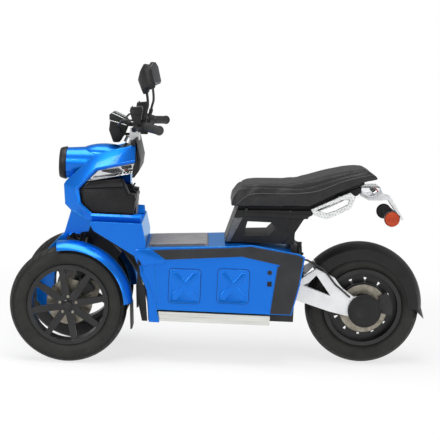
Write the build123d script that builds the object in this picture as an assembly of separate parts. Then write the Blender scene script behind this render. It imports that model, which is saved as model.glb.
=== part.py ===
from build123d import *
import os
from math import atan2, cos, degrees, hypot, pi, radians, sin, sqrt, tan

# Electric three-wheeled leaning scooter, in millimetres.
# +X is forward, +Y is the rider's left, +Z is up, and Z 0 is the ground.

# ---------------------------------------------------------------- driving sizes

# Wheels
WHEELBASE = 1195.0
FRONT_AXLE_X = 620.0
REAR_AXLE_X = FRONT_AXLE_X - WHEELBASE
TRACK = 400.0
FRONT_TYRE_R = 234.0
FRONT_TYRE_W = 90.0
REAR_TYRE_R = 236.0
REAR_TYRE_W = 120.0
BEAD_R = 152.0
RIM_WALL = 8.0
RIM_LIP = 10.0
FRONT_RIM_W = 64.0
REAR_RIM_W = 88.0
AXLE_R = 10.0
BEARING_GAP = 0.4
TYRE_GAP = 0.3
FRONT_HUB_R = 33.0
SPOKES = 8
SPOKE_START_DEG = 33.0
SPOKE_ROOT_W = 34.0
SPOKE_TIP_W = 22.0
SPOKE_T = 13.0
FRONT_DISC_R = 92.0
DISC_T = 4.0
MOTOR_R = 105.0
MOTOR_W = 84.0
DISC_STANDOFF = 10.0
VENTS = 12
REAR_DISC_R = 99.0

# Steering: handlebar axis and kingpins share one rake
RAKE_DEG = 23.0
STEER_HEAD_X = 410.0
STEER_HEAD_Z = 880.0
KINGPIN_Y = 110.0
KINGPIN_R = 11.0
ARM_LENGTH = 45.0
ARM_SPREAD = 14.0
TIE_ROD_R = 4.5
STEER_LIMIT_DEG = 25.0

# Front fenders, carried by the knuckles
FENDER_GAP = 18.0
FENDER_T = 4.0
FENDER_EDGE_R = 224.0
FENDER_HALF_W = 59.0
FENDER_FRONT_DEG = 78.0
FENDER_REAR_DEG = 176.0
FLAP_END_Z = 150.0

# Body
BODY_HALF = 190.0
PANEL_T = 4.0
TRIM_T = 6.0
DECK_FRONT_X = 322.0
DECK_FRONT_Z = 470.0
DECK_SLOPE = 0.06
DECK_REAR_X = -60.0
DECK_T = 6.0
LID_REAR_X = 74.0
LID_FRONT_X = 314.0
LID_HALF = 150.0
LID_GAP = 0.8
MAT_T = 5.0
PANEL_BOTTOM_Z = 222.0
SILL_BOTTOM_Z = 176.0
BATTERY = (-170.0, 205.0, 122.0, 206.3, 440.0)

# Seat and tail
PYLON_HALF = 112.0
PYLON_BASE_Z = 498.0
PYLON_TOP_Z = 628.0
SEAT_HALF = 135.0
SEAT_BASE_T = 12.0
SEAT_GAP = 0.6
TAIL_HALF = 70.0
GRAB_Y = 128.0
PLATE_HOLE_PITCH = 60.0
PLATE_HOLE_R = 3.0

# Rear end
MUDGUARD_GAP = 26.0
MUDGUARD_SIDE_GAP = 13.0
MUDGUARD_R = REAR_TYRE_R + MUDGUARD_GAP
MUDGUARD_T = 4.0
MUDGUARD_HALF = REAR_TYRE_W / 2 + MUDGUARD_SIDE_GAP
SWINGARM_GAP = 19.0
SWINGARM_Y = MUDGUARD_HALF + SWINGARM_GAP
SWINGARM_T = 22.0
MUDGUARD_TIP = (REAR_AXLE_X - 263.0, 192.0)

# Handlebar
BAR_R = 11.0
GRIP_R = 17.0
GRIP_END_Y = 340.0
GRIP_END = (280.0, 949.0)

RAKE = radians(RAKE_DEG)
CENTRE_X = (FRONT_AXLE_X + FRONT_TYRE_R + MUDGUARD_TIP[0]) / 2
UP_AXIS = Vector(-sin(RAKE), 0, cos(RAKE))
FORE_AXIS = Vector(cos(RAKE), 0, sin(RAKE))


# ---------------------------------------------------------------- helpers

def prism(points, y_low, y_high, taper=0.0):
    """A solid with an outline in X and Z, from one Y plane to the other."""
    plane = Plane(origin=(0, y_high, 0), x_dir=(1, 0, 0), z_dir=(0, -1, 0))
    face = plane * make_face(Polyline(*points, close=True))
    return extrude(face, amount=y_high - y_low, taper=taper)


def panel_pair(points, y_low, y_high):
    """The same prism on the left and on the right."""
    left = prism(points, y_low, y_high)
    return [left, left.mirror(Plane.XZ)]


def tapered_wall(points, y_inner, y_outer, lean):
    """A prism on the left whose outer face is drawn in by a lean in degrees."""
    plane = Plane(origin=(0, y_inner, 0), x_dir=(-1, 0, 0), z_dir=(0, 1, 0))
    turned = [(-x, z) for x, z in points]
    face = plane * make_face(Polyline(*turned, close=True))
    return extrude(face, amount=y_outer - y_inner, taper=lean)


def box(x0, x1, y0, y1, z0, z1):
    """A block between two corners."""
    block = Box(x1 - x0, y1 - y0, z1 - z0, align=(Align.MIN, Align.MIN, Align.MIN))
    return Pos(x0, y0, z0) * block


def rod(start, end, radius):
    """A round bar between two points."""
    start, end = Vector(*start), Vector(*end)
    along = end - start
    plane = Plane(origin=start, z_dir=along)
    return plane * Cylinder(radius, along.length, align=(Align.CENTER, Align.CENTER, Align.MIN))


def ring(centre, axis, outer, inner, length):
    """A round bush from a point along an axis."""
    plane = Plane(origin=centre, z_dir=axis)
    low = (Align.CENTER, Align.CENTER, Align.MIN)
    return plane * (Cylinder(outer, length, align=low) - Cylinder(inner, length, align=low))


def both(shape):
    """The shape and its mirror image across the centre plane."""
    return [shape, shape.mirror(Plane.XZ)]


def hose(points, radius, bend):
    """A round hose along straight runs and tangent arcs."""
    path = FilletPolyline(*points, radius=bend)
    section = Plane(origin=path @ 0, z_dir=path % 0) * Circle(radius)
    return sweep(section, path=path)


def fuse(shapes):
    """One solid from pieces that overlap."""
    whole = shapes[0]
    for shape in shapes[1:]:
        whole = whole + shape
    return whole


def save(shape, node):
    """Write one sub-part, given as a shape or a list, with X 0 at mid length."""
    pieces = shape if isinstance(shape, list) else [shape]
    solids = [solid for piece in pieces for solid in piece.solids()]
    moved = [Pos(-CENTRE_X, 0, 0) * solid for solid in solids]
    shape = moved[0] if len(moved) == 1 else Compound(children=moved)
    export_step(shape, "parts/" + node + ".step")


def steer_point(z):
    """The point of the handlebar's axis at a height."""
    return Vector(STEER_HEAD_X + (STEER_HEAD_Z - z) * tan(RAKE), 0, z)


def kingpin_point(z):
    """The point of the left kingpin's axis at a height."""
    return Vector(FRONT_AXLE_X - (z - FRONT_TYRE_R) * tan(RAKE), KINGPIN_Y, z)


def deck_z(x):
    """The height of the floor's top face."""
    return DECK_FRONT_Z + DECK_SLOPE * (DECK_FRONT_X - x)


# ---------------------------------------------------------------- wheels

def tyre(outer_r, width):
    """A solid tyre about Y, open at its beads."""
    bead = width * 0.3
    with BuildPart() as part:
        with BuildSketch(Plane.XY):
            with BuildLine():
                Line((BEAD_R + TYRE_GAP, -bead), (BEAD_R + TYRE_GAP, bead))
                Line((BEAD_R + TYRE_GAP, bead), (BEAD_R + RIM_LIP, bead))
                mid_r = BEAD_R + (outer_r - BEAD_R) * 0.5
                shoulder_r = outer_r - width * 0.15
                shoulder_y = width * 0.39
                ThreePointArc((BEAD_R + RIM_LIP, bead), (mid_r, width / 2), (shoulder_r, shoulder_y))
                ThreePointArc((shoulder_r, shoulder_y), (outer_r, 0), (shoulder_r, -shoulder_y))
                ThreePointArc((shoulder_r, -shoulder_y), (mid_r, -width / 2), (BEAD_R + RIM_LIP, -bead))
                Line((BEAD_R + RIM_LIP, -bead), (BEAD_R + TYRE_GAP, -bead))
            make_face()
        revolve(axis=Axis.Y)
    return part.part


def barrel(tyre_w, rim_w):
    """The rim's well and its two lips, about Y."""
    bead = tyre_w * 0.3 + TYRE_GAP
    half = rim_w / 2
    points = [
        (BEAD_R - RIM_WALL, -half),
        (BEAD_R + RIM_LIP - 1, -half),
        (BEAD_R + RIM_LIP - 1, -bead),
        (BEAD_R, -bead),
        (BEAD_R, bead),
        (BEAD_R + RIM_LIP - 1, bead),
        (BEAD_R + RIM_LIP - 1, half),
        (BEAD_R - RIM_WALL, half),
    ]
    return revolve(make_face(Polyline(*points, close=True)), axis=Axis.Y)


def disc_of(radius, y0, y1):
    """A round slab about Y."""
    low = (Align.CENTER, Align.CENTER, Align.MIN)
    plane = Plane(origin=(0, y0, 0), z_dir=(0, 1, 0))
    return plane * Cylinder(radius, y1 - y0, align=low)


def front_rim():
    """The spoked front rim, its spokes towards +Y."""
    spoke_y = FRONT_RIM_W / 2 - SPOKE_T - 4
    rim = barrel(FRONT_TYRE_W, FRONT_RIM_W)
    rim += disc_of(FRONT_HUB_R, -FRONT_RIM_W / 2, spoke_y + SPOKE_T + 3)
    reach = BEAD_R - RIM_WALL / 2
    blade = [
        (0, -SPOKE_ROOT_W / 2),
        (reach, -SPOKE_TIP_W / 2),
        (reach, SPOKE_TIP_W / 2),
        (0, SPOKE_ROOT_W / 2),
    ]
    spoke = prism(blade, spoke_y, spoke_y + SPOKE_T)
    for index in range(SPOKES):
        rim += spoke.rotate(Axis.Y, -(SPOKE_START_DEG + index * 360 / SPOKES))
    return rim - disc_of(AXLE_R + BEARING_GAP, -FRONT_RIM_W, FRONT_RIM_W)


def front_disc():
    """The brake disc on the hub's inner face."""
    face_y = -FRONT_RIM_W / 2
    disc = disc_of(FRONT_DISC_R, face_y - DISC_T, face_y)
    return disc - disc_of(FRONT_HUB_R - 10, face_y - DISC_T, face_y)


def rear_rim():
    """The rear rim round its hub motor, with open vents between them."""
    rim = barrel(REAR_TYRE_W, REAR_RIM_W)
    rim += disc_of(MOTOR_R, -MOTOR_W / 2, MOTOR_W / 2)
    rim += disc_of(BEAD_R - RIM_WALL / 2, -8, 8)
    rim += disc_of(72, 0, MOTOR_W / 2 + DISC_STANDOFF) - disc_of(60, MOTOR_W / 2, MOTOR_W)
    vent = [
        (MOTOR_R + 2, -3.5),
        (MOTOR_R + 17, -7),
        (MOTOR_R + 17, 7),
        (MOTOR_R + 2, 3.5),
    ]
    slot = prism(vent, -20, 20)
    for index in range(VENTS):
        rim -= slot.rotate(Axis.Y, -(4 + index * 360 / VENTS))
    return rim - disc_of(AXLE_R + BEARING_GAP, -MOTOR_W, MOTOR_W)


def rear_disc():
    """The rear brake disc, on the motor's left face."""
    face_y = MOTOR_W / 2 + DISC_STANDOFF
    return disc_of(REAR_DISC_R, face_y, face_y + DISC_T) - disc_of(62, face_y, face_y + DISC_T)


# ---------------------------------------------------------------- front suspension and knuckles

HOUSING_LOW_Z = 352.0
HOUSING_HIGH_Z = 424.0
HOUSING_R = 18.0
CAP_T = 10.0
CAP_GAP = 1.0
CARRIER_HALF = 20.0
ARM_R = 12.0
LEG_Y = 128.0
LEG_T = 18.0
EYE_R = 10.0
EYE_T = 9.0
PIN_R = 4.0
PLATE_T = 6.0
PITMAN_Z = 452.0
NUT_R = 13.0
TAB_Y = 139.0


def kingpin_housings():
    """The two kingpin tubes and the four arms that carry them from the centre."""
    low = kingpin_point(HOUSING_LOW_Z)
    high = kingpin_point(HOUSING_HIGH_Z)
    housing = ring(low, UP_AXIS, HOUSING_R, KINGPIN_R + BEARING_GAP, (high - low).length)
    bore = rod(low, high, KINGPIN_R + BEARING_GAP)
    for z in (HOUSING_LOW_Z + 20, HOUSING_HIGH_Z - 20):
        centre = kingpin_point(z)
        housing += rod((centre.X, CARRIER_HALF, z), (centre.X, KINGPIN_Y, z), ARM_R) - bore
    return both(housing)


def arm_plate(hub, tip):
    """A flat steering arm that tapers from its hub to its eye."""
    plate = Plane(origin=hub, x_dir=FORE_AXIS, z_dir=UP_AXIS)
    reach = plate.to_local_coords(tip)
    side = HOUSING_R * 0.75
    outline = make_hull([Circle(side).edge(), (Pos(reach.X, reach.Y) * Circle(EYE_R)).edge()])
    return extrude(plate * outline, amount=PLATE_T)


def eye_pin(tip):
    """The pin that stands on a steering arm, through its rod end."""
    return rod(tip, tip + UP_AXIS * (PLATE_T + EYE_T + 3), PIN_R)


def knuckle():
    """The left knuckle: kingpin, caps, steering arm, leg, stub axle and nut."""
    low = kingpin_point(HOUSING_LOW_Z) - UP_AXIS * (CAP_T + CAP_GAP)
    high = kingpin_point(HOUSING_HIGH_Z) + UP_AXIS * (CAP_T + CAP_GAP)
    body = rod(low, high, KINGPIN_R)
    body += rod(low, low + UP_AXIS * CAP_T, HOUSING_R)
    body += rod(high - UP_AXIS * CAP_T, high, HOUSING_R)
    body += arm_plate(high - UP_AXIS * PLATE_T, knuckle_tip())
    body += eye_pin(knuckle_tip())
    fork = [
        (low.X - 18, low.Z - 4),
        (low.X + 18, low.Z + 10),
        (FRONT_AXLE_X + 28, FRONT_TYRE_R + 10),
        (FRONT_AXLE_X + 20, FRONT_TYRE_R - 24),
        (FRONT_AXLE_X - 22, FRONT_TYRE_R - 18),
    ]
    body += prism(fork, LEG_Y - LEG_T / 2, LEG_Y + LEG_T / 2)
    outer = TRACK / 2 + FRONT_RIM_W / 2 + 1
    body += rod((FRONT_AXLE_X, LEG_Y, FRONT_TYRE_R), (FRONT_AXLE_X, outer + 9, FRONT_TYRE_R), AXLE_R)
    body += rod((FRONT_AXLE_X, outer, FRONT_TYRE_R), (FRONT_AXLE_X, outer + 8, FRONT_TYRE_R), NUT_R)
    body += front_caliper()
    lug = Plane(origin=high - UP_AXIS * CAP_T, x_dir=FORE_AXIS, z_dir=UP_AXIS)
    block = Box(24, TAB_Y - KINGPIN_Y, CAP_T, align=(Align.CENTER, Align.MIN, Align.MIN))
    body += lug * block
    return body


def knuckle_tip():
    """The foot of the left steering arm's pin."""
    high = kingpin_point(HOUSING_HIGH_Z) + UP_AXIS * (CAP_T + CAP_GAP - PLATE_T)
    return high + FORE_AXIS * ARM_LENGTH + Vector(0, ARM_SPREAD, 0)


def pitman_tip():
    """The foot of the left pin on the handlebar's steering arm."""
    return steer_point(PITMAN_Z) + FORE_AXIS * ARM_LENGTH + Vector(0, ARM_SPREAD, 0)


def sector(radius_in, radius_out, start, end, centre):
    """The outline of part of a ring in X and Z, angles in degrees up from +X."""
    steps = 6
    points = []
    for index in range(steps + 1):
        angle = radians(start + (end - start) * index / steps)
        points.append((centre[0] + radius_out * cos(angle), centre[1] + radius_out * sin(angle)))
    for index in range(steps + 1):
        angle = radians(end + (start - end) * index / steps)
        points.append((centre[0] + radius_in * cos(angle), centre[1] + radius_in * sin(angle)))
    return points


def front_caliper():
    """The brake caliper over the disc, with its lug on the leg."""
    centre = (FRONT_AXLE_X, FRONT_TYRE_R)
    disc_y = TRACK / 2 - FRONT_RIM_W / 2 - DISC_T / 2
    block = prism(sector(58, 112, 112, 152, centre), LEG_Y, disc_y + 16)
    slot = Pos(FRONT_AXLE_X, 0, FRONT_TYRE_R) * disc_of(FRONT_DISC_R + 4, disc_y - 4, disc_y + 4)
    return block - slot


def tie_rod():
    """The left tie rod, from the handlebar's arm to the knuckle's arm."""
    inner = pitman_tip() + UP_AXIS * (PLATE_T + 0.5)
    outer = knuckle_tip() + UP_AXIS * (PLATE_T + 0.5)
    half = UP_AXIS * (EYE_T / 2)
    link = rod(inner + half, outer + half, TIE_ROD_R)
    for eye in (inner, outer):
        link += rod(eye, eye + UP_AXIS * EYE_T, EYE_R)
    for eye in (inner, outer):
        link -= rod(eye - UP_AXIS, eye + UP_AXIS * (EYE_T + 1), PIN_R + BEARING_GAP)
    return link


def fender():
    """The left front fender, with its tab on the knuckle."""
    crown = FRONT_TYRE_R + FENDER_GAP + FENDER_T
    with BuildPart() as part:
        with BuildSketch(Plane.XY):
            with BuildLine():
                w = FENDER_HALF_W
                t = FENDER_T
                ThreePointArc((FENDER_EDGE_R, -w), (crown, 0), (FENDER_EDGE_R, w))
                Line((FENDER_EDGE_R, w), (FENDER_EDGE_R, w - t))
                ThreePointArc((FENDER_EDGE_R, w - t), (crown - t, 0), (FENDER_EDGE_R, t - w))
                Line((FENDER_EDGE_R, t - w), (FENDER_EDGE_R, -w))
            make_face()
        revolve(axis=Axis.Y, revolution_arc=FENDER_REAR_DEG - FENDER_FRONT_DEG)
    shell = part.part.rotate(Axis.Y, -FENDER_REAR_DEG)
    shell = Pos(FRONT_AXLE_X, TRACK / 2, FRONT_TYRE_R) * shell
    high = kingpin_point(HOUSING_HIGH_Z)
    tab_end = TRACK / 2 - FENDER_HALF_W + 9
    return shell + box(high.X - 18, high.X + 8, TAB_Y, tab_end, high.Z - 4, high.Z + 14)


def flap():
    """The left mud flap, below the fender's rear end."""
    crown = FRONT_TYRE_R + FENDER_GAP + FENDER_T
    angle = radians(FENDER_REAR_DEG)
    top_x = FRONT_AXLE_X + crown * cos(angle)
    top_z = FRONT_TYRE_R + (crown - 12) * sin(angle)
    y = TRACK / 2
    outline = [
        (top_x + 1, top_z - 0.3),
        (top_x + 9, top_z - 0.3),
        (top_x + 3, FLAP_END_Z),
        (top_x - 5, FLAP_END_Z + 4),
    ]
    return prism(outline, y - FENDER_HALF_W * 0.8, y + FENDER_HALF_W * 0.8)


# ---------------------------------------------------------------- chassis

FRAME_R = 20.0
HEAD_TUBE_R = 22.0
STEM_R = 15.0
HEAD_LOW_Z = 474.0
HEAD_HIGH_Z = 846.0
RAIL_Y = 110.0
RAIL_H = 26.0
RAIL_Z = 206.0
REAR_CROSS_X = -272.0
FRONT_CROSS_X = 238.0
PIVOT_Z = 300.0
PIVOT_X = -284.0


def spine_ends():
    """The two ends of the tube from the head tube down to the floor."""
    return steer_point(600), Vector(FRONT_CROSS_X + 4, 0, RAIL_Z - 6)


def chassis_frame():
    """Head tube, spine, arm carrier, floor rails and the rear uprights."""
    low = steer_point(HEAD_LOW_Z)
    high = steer_point(HEAD_HIGH_Z)
    frame = rod(low, high, HEAD_TUBE_R)
    frame += rod(*spine_ends(), FRAME_R)
    carrier = [
        (kingpin_point(HOUSING_LOW_Z).X + 26, HOUSING_LOW_Z - 8),
        (kingpin_point(HOUSING_HIGH_Z).X + 20, HOUSING_HIGH_Z + 14),
        (low.X + 10, HEAD_LOW_Z + 12),
        (low.X - 30, HEAD_LOW_Z + 60),
        (430, 416),
        (470, 340),
    ]
    frame += prism(carrier, -CARRIER_HALF, CARRIER_HALF)
    half = RAIL_H / 2
    for side in (-1, 1):
        y = side * RAIL_Y
        frame += box(REAR_CROSS_X - half, FRONT_CROSS_X + half, y - half, y + half, RAIL_Z - RAIL_H, RAIL_Z)
        frame += box(REAR_CROSS_X - half, REAR_CROSS_X + half, y - half, y + half, RAIL_Z - RAIL_H, PYLON_BASE_Z)
    cross = RAIL_Y + half
    frame += box(FRONT_CROSS_X - half, FRONT_CROSS_X + half, -cross, cross, RAIL_Z - RAIL_H, RAIL_Z)
    frame += box(REAR_CROSS_X - half, REAR_CROSS_X + half, -cross, cross, RAIL_Z - RAIL_H, RAIL_Z)
    frame += box(REAR_CROSS_X - half, REAR_CROSS_X + half, -cross, cross, PYLON_BASE_Z - RAIL_H, PYLON_BASE_Z)
    frame += box(REAR_CROSS_X - half, REAR_CROSS_X + half, -cross, cross, PIVOT_Z - half, PIVOT_Z + half)
    frame += box(REAR_CROSS_X - 40, REAR_CROSS_X, -9, 9, PYLON_BASE_Z - 24, PYLON_BASE_Z - 6)
    stem_bore = rod(steer_point(HEAD_LOW_Z - 40), steer_point(HEAD_HIGH_Z + 40), STEM_R + BEARING_GAP)
    return frame - stem_bore


def battery_box():
    """The heavy battery, a plain block under the floor."""
    x0, x1, half, z0, z1 = BATTERY
    return box(x0, x1, -half, half, z0, z1)


# ---------------------------------------------------------------- bodywork

def leg_shield():
    """The blue shell behind the front wheels, open towards them."""
    outer = [
        (545, 552),
        (532, 530),
        (367, 436),
        (350, 400),
        (340, 361),
        (312, 300),
        (303, 222),
        (298, 170),
        (256, 170),
        (270, 225),
        (284, 428),
        (DECK_FRONT_X, 460),
        (DECK_FRONT_X + 2, 497),
        (341, 566),
        (545, 566),
    ]
    inner = [
        (560, 552),
        (560, 520),
        (380, 420),
        (360, 350),
        (330, 290),
        (320, 150),
        (263, 150),
        (274.5, 225),
        (288.5, 426),
        (DECK_FRONT_X + 4, 458),
        (DECK_FRONT_X + 6, 496),
        (344.5, 562),
        (560, 562),
    ]
    shell = prism(outer, -BODY_HALF, BODY_HALF)
    shell -= prism(inner, -BODY_HALF + PANEL_T, BODY_HALF - PANEL_T)
    return shell - head_clearance() - frame_clearance()


def head_clearance():
    """Room for the head tube through the bodywork."""
    return rod(steer_point(420), steer_point(HEAD_HIGH_Z + 80), HEAD_TUBE_R + 0.5)


def frame_clearance():
    """Room for the spine through the bodywork."""
    top, foot = spine_ends()
    return rod(top, foot + (foot - top) * 0.1, FRAME_R + 0.5)


def wheel_arch_liners():
    """The black inner wall of the front wheel arches."""
    wall = [
        (527, 522),
        (372, 433),
        (352, 398),
        (342, 358),
        (314, 298),
        (305, 222),
        (301, 176),
        (295, 176),
        (299, 222),
        (308, 300),
        (336, 360),
        (346, 402),
        (368, 438),
        (524, 528),
    ]
    half = BODY_HALF - PANEL_T - 0.3
    return prism(wall, -half, half) - frame_clearance() - head_clearance()


def floor_deck():
    """The blue floor, with the opening that the battery lid covers."""
    outline = [
        (DECK_FRONT_X - 0.5, deck_z(DECK_FRONT_X)),
        (DECK_REAR_X, deck_z(DECK_REAR_X)),
        (-258, 476),
        (-258, 476 - DECK_T),
        (DECK_REAR_X, deck_z(DECK_REAR_X) - DECK_T),
        (DECK_FRONT_X - 0.5, deck_z(DECK_FRONT_X) - DECK_T),
    ]
    half = BODY_HALF - PANEL_T - 0.3
    deck = prism(outline, -half, half)
    return deck


def side_panels():
    """The two blue side panels, with a rim at the top and rear for the trim."""
    outline = [
        (269.2, 222),
        (283.4, 429),
        (DECK_FRONT_X - 3, 461),
        (DECK_FRONT_X - 4, 468),
        (8, 489),
        (-100, 500),
        (-292, 472),
        (-314, 461),
        (-300, 346),
        (-272, PANEL_BOTTOM_Z),
    ]
    return panel_pair(outline, BODY_HALF - PANEL_T, BODY_HALF)


def side_trims():
    """The black bands that lie on the side panels and run down at the rear."""
    outline = [
        (290, 448),
        (294, 463),
        (8, 483),
        (-100, 494),
        (-288, 467),
        (-307, 457),
        (-294, 346),
        (-268, 226),
        (-186, 226),
        (-206, 418),
        (-226, 430),
        (-62, 455),
        (241, 429),
    ]
    outline = outline[:9] + [(-206, 416), (-222, 424), (-62, 453), (241, 427)]
    return panel_pair(outline, BODY_HALF, BODY_HALF + TRIM_T)


def sills():
    """The two light alloy sills along the floor's lower edges."""
    y0 = RAIL_Y + RAIL_H / 2 + 0.3
    rails = []
    outline = [(254, SILL_BOTTOM_Z), (262, 214), (-186, 214), (-186, SILL_BOTTOM_Z)]
    for piece in panel_pair(outline, y0, BODY_HALF - 3):
        rails.append(piece)
    return rails


def seat_pylon():
    """The black seat support, with a window from side to side."""
    outline = [
        (7, 498),
        (-31, 620),
        (-36, PYLON_TOP_Z),
        (-345, PYLON_TOP_Z + 10),
        (-340, 620),
        (-306, 601),
        (-274, 546),
        (-272, PYLON_BASE_Z),
    ]
    window = [(-80, 584), (-176, 584), (-196, 560), (-168, 530), (-66, 524)]
    pylon = prism(outline, -PYLON_HALF, PYLON_HALF)
    return pylon - prism(window, -PYLON_HALF - 10, PYLON_HALF + 10)


def tail_frame():
    """The black rear frame under the seat, from the pylon to the tail lamp."""
    outline = [
        (-344, PYLON_TOP_Z + 9),
        (-336, 616),
        (-372, 640),
        (-430, 672),
        (-520, 706),
        (-534, 722),
        (-534, 742),
        (-440, 703),
    ]
    return prism(outline, -TAIL_HALF - 20, TAIL_HALF + 20)


def grab_handles():
    """The two alloy grab handles beside the tail frame."""
    outer = [
        (-332, 645),
        (-345, 624),
        (-393, 610),
        (-431, 626),
        (-491, 658),
        (-508, 704),
        (-487, 720),
        (-467, 712),
    ]
    inner = [(-352, 645), (-395, 632), (-430, 645), (-478, 672), (-484, 696), (-466, 696)]
    handle = prism(outer, GRAB_Y - 9, GRAB_Y + 9) - prism(inner, 0, 400)
    handle += box(-480, -440, TAIL_HALF + 20.3, GRAB_Y, 690, 702)
    return both(handle)


def tail_lamp():
    """The clear tail lamp."""
    outline = [(-534.3, 712), (-534.3, 738), (-614, 742), (-621, 720), (-600, 700), (-570, 694)]
    return prism(outline, -TAIL_HALF, TAIL_HALF)


def plate_bracket():
    """The alloy bracket behind the tail lamp, with its blank plate lamp arm."""
    arm = [
        (-536, 710),
        (-570, 693.4),
        (-600.2, 699.4),
        (-622, 719),
        (-630, 716),
        (-640, 704),
        (-662, 700),
        (-722, 612),
        (-714, 606),
        (-652, 688),
        (-622, 684),
        (-574, 682),
        (-540, 698),
    ]
    bracket = prism(arm, -36, 36)
    top, end = Vector(*arm[6]), Vector(*arm[7])
    middle = (top + end) / 2
    along = (end - top).normalized()
    normal = Vector(along.Y, 0, -along.X)
    for y in (-PLATE_HOLE_PITCH / 2, PLATE_HOLE_PITCH / 2):
        centre = Vector(middle.X, y, middle.Y)
        bracket -= rod(centre - normal * 20, centre + normal * 20, PLATE_HOLE_R)
    return bracket


def rear_indicators():
    """The black indicator bodies and the bar that carries them."""
    x, z = -660, 621
    bar = rod((x - 27, -118, z + 10), (x - 27, 118, z + 10), 6)
    body = rod((x, 100, z), (x, 122, z), 27)
    bar += body + body.mirror(Plane.XZ)
    return bar - plate_bracket()


def indicator_lenses():
    """The two orange lenses, facing sideways."""
    x, z = -660, 621
    return both(rod((x, 122.2, z), (x, 134, z), 29))


def headlight_nacelle():
    """The round blue headlight body that widens towards the handlebar."""
    axis_z = 777.0
    profile = [(664, 0), (664, 63), (580, 70), (500, 75), (400, 76), (400, 0)]
    outline = Polyline(*[(x, axis_z + r) for x, r in profile], close=True)
    face = Plane.XZ * make_face(outline)
    return revolve(face, axis=Axis((0, 0, axis_z), (1, 0, 0))) - head_clearance() - rod(steer_point(HEAD_HIGH_Z), steer_point(940), 28)


def headlight_bezel():
    """The black ring in front of the nacelle."""
    return ring((664.3, 0, 777), (1, 0, 0), 66, 56, 24)


def headlight_lens():
    """The clear round headlight glass."""
    return rod((664.3, 0, 777), (682, 0, 777), 55.7)


def cheek_fairings():
    """The blue C-shaped side fairings round the storage boxes."""
    outline = [
        (379, 876),
        (540, 827),
        (652, 719),
        (661, 704),
        (654, 624),
        (629, 600),
        (560, 566.3),
        (345, 566.3),
        (350, 593),
        (542, 593),
        (589, 634),
        (600, 691),
        (530, 768),
        (379, 808),
    ]
    return both(tapered_wall(outline, 120, 172, 10))


def side_lamps():
    """The clear side lamps under the fairings' top arms."""
    outline = [(522, 769.6), (389, 800), (404, 756), (568, 722.3)]
    return panel_pair(outline, 120, 158)


def storage_boxes():
    """The two black storage boxes inside the side fairings, open to the rear."""
    outline = [(596, 690), (560, 722), (384, 738), (384, 593.3), (540, 593.3), (585, 634)]
    hollow = [(586, 686), (560, 716), (380, 732), (380, 598), (538, 598), (580, 638)]
    box_body = prism(outline, 84, 152) - prism(hollow, 88, 148)
    return both(box_body - head_clearance())


def box_lid(side):
    """The lid of one storage box, hinged along its lower edge."""
    y0, y1 = (88.5, 147.5) if side > 0 else (-147.5, -88.5)
    return box(378, 383.5, y0, y1, 596, 736)


def dash_cowl():
    """The black shield that closes the head towards the rider."""
    outline = [(398, 892), (370, 901), (343, 816), (347, 773), (374, 744.3), (384, 744.3), (384, 790), (376, 806), (376, 876), (398, 876)]
    cowl = prism(outline, -165, 165) - head_clearance()
    cowl += box(374, 379, -82, 82, 566.5, 760)
    return cowl - box(330, 460, -64, 64, 862, 920)


def front_apron():
    """The blue apron under the headlight, and the nose between the wheels."""
    apron = [(632, 597), (660, 490), (655, 486), (640, 500), (560, 512), (545.4, 560), (545.4, 566), (560, 566), (629, 599)]
    nose = [(634, 585), (660, 490), (678, 481), (754, 393), (772, 300), (770, 207), (704, 142), (696, 150), (700, 300), (690, 400), (655, 470), (640, 500), (626, 560)]
    hollow = [(624, 590), (650, 492), (640, 400), (530, 500), (540, 600)]
    shell = prism(apron, -98, 98)
    shell -= prism(hollow, -94, 94)
    shell += prism(nose, -36, 36)
    return shell - head_clearance()


# ---------------------------------------------------------------- front shocks, swingarm, rear

def front_shocks():
    """The two short spring struts over the arms."""
    strut = rod((590, 70, 366), (568, 36, 478), 11)
    strut += rod((568, CARRIER_HALF + 0.3, 474), (568, 40, 474), 6)
    strut -= box(500, 640, -CARRIER_HALF - 0.3, CARRIER_HALF + 0.3, 300, 520)
    strut -= head_clearance()
    return both(strut)


def swingarm():
    """The alloy swingarm with its triangular windows, cross tube and axle."""
    hub = (REAR_AXLE_X, REAR_TYRE_R)
    outline = [
        (-285.3, 334),
        (-330, 372),
        (-371, 400),
        (hub[0] + 129, 366),
        (hub[0] + 96, 326),
        (hub[0] + 45, 290),
        (hub[0], 296),
        (hub[0] - 45, 262),
        (hub[0] - 25, 200),
        (hub[0] + 75, 212),
        (hub[0] + 113, 220),
        (hub[0] + 145, 227),
        (-285.3, 270),
    ]
    opening = [(-371, 374), (-344, 343), (-318, 330), (hub[0] + 141, 291)]
    inner = SWINGARM_Y - SWINGARM_T / 2
    outer = SWINGARM_Y + SWINGARM_T / 2
    side = prism(outline, inner, outer) - prism(opening, 0, 300)
    arm = side + side.mirror(Plane.XZ)
    arm += rod((-312, -inner, 300), (-312, inner, 300), 14)
    arm += rod((hub[0], -inner, hub[1]), (hub[0], -MOTOR_W / 2 - 1, hub[1]), 24)
    arm += rod((hub[0], inner, hub[1]), (hub[0], MOTOR_W / 2 + 1, hub[1]), 24)
    arm += rod((hub[0], -inner, hub[1]), (hub[0], inner, hub[1]), AXLE_R)
    return arm


def axle_covers():
    """The round black covers over the rear axle's ends."""
    y = SWINGARM_Y + SWINGARM_T / 2
    return both(rod((REAR_AXLE_X, y, REAR_TYRE_R), (REAR_AXLE_X, y + 10, REAR_TYRE_R), 68))


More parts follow.
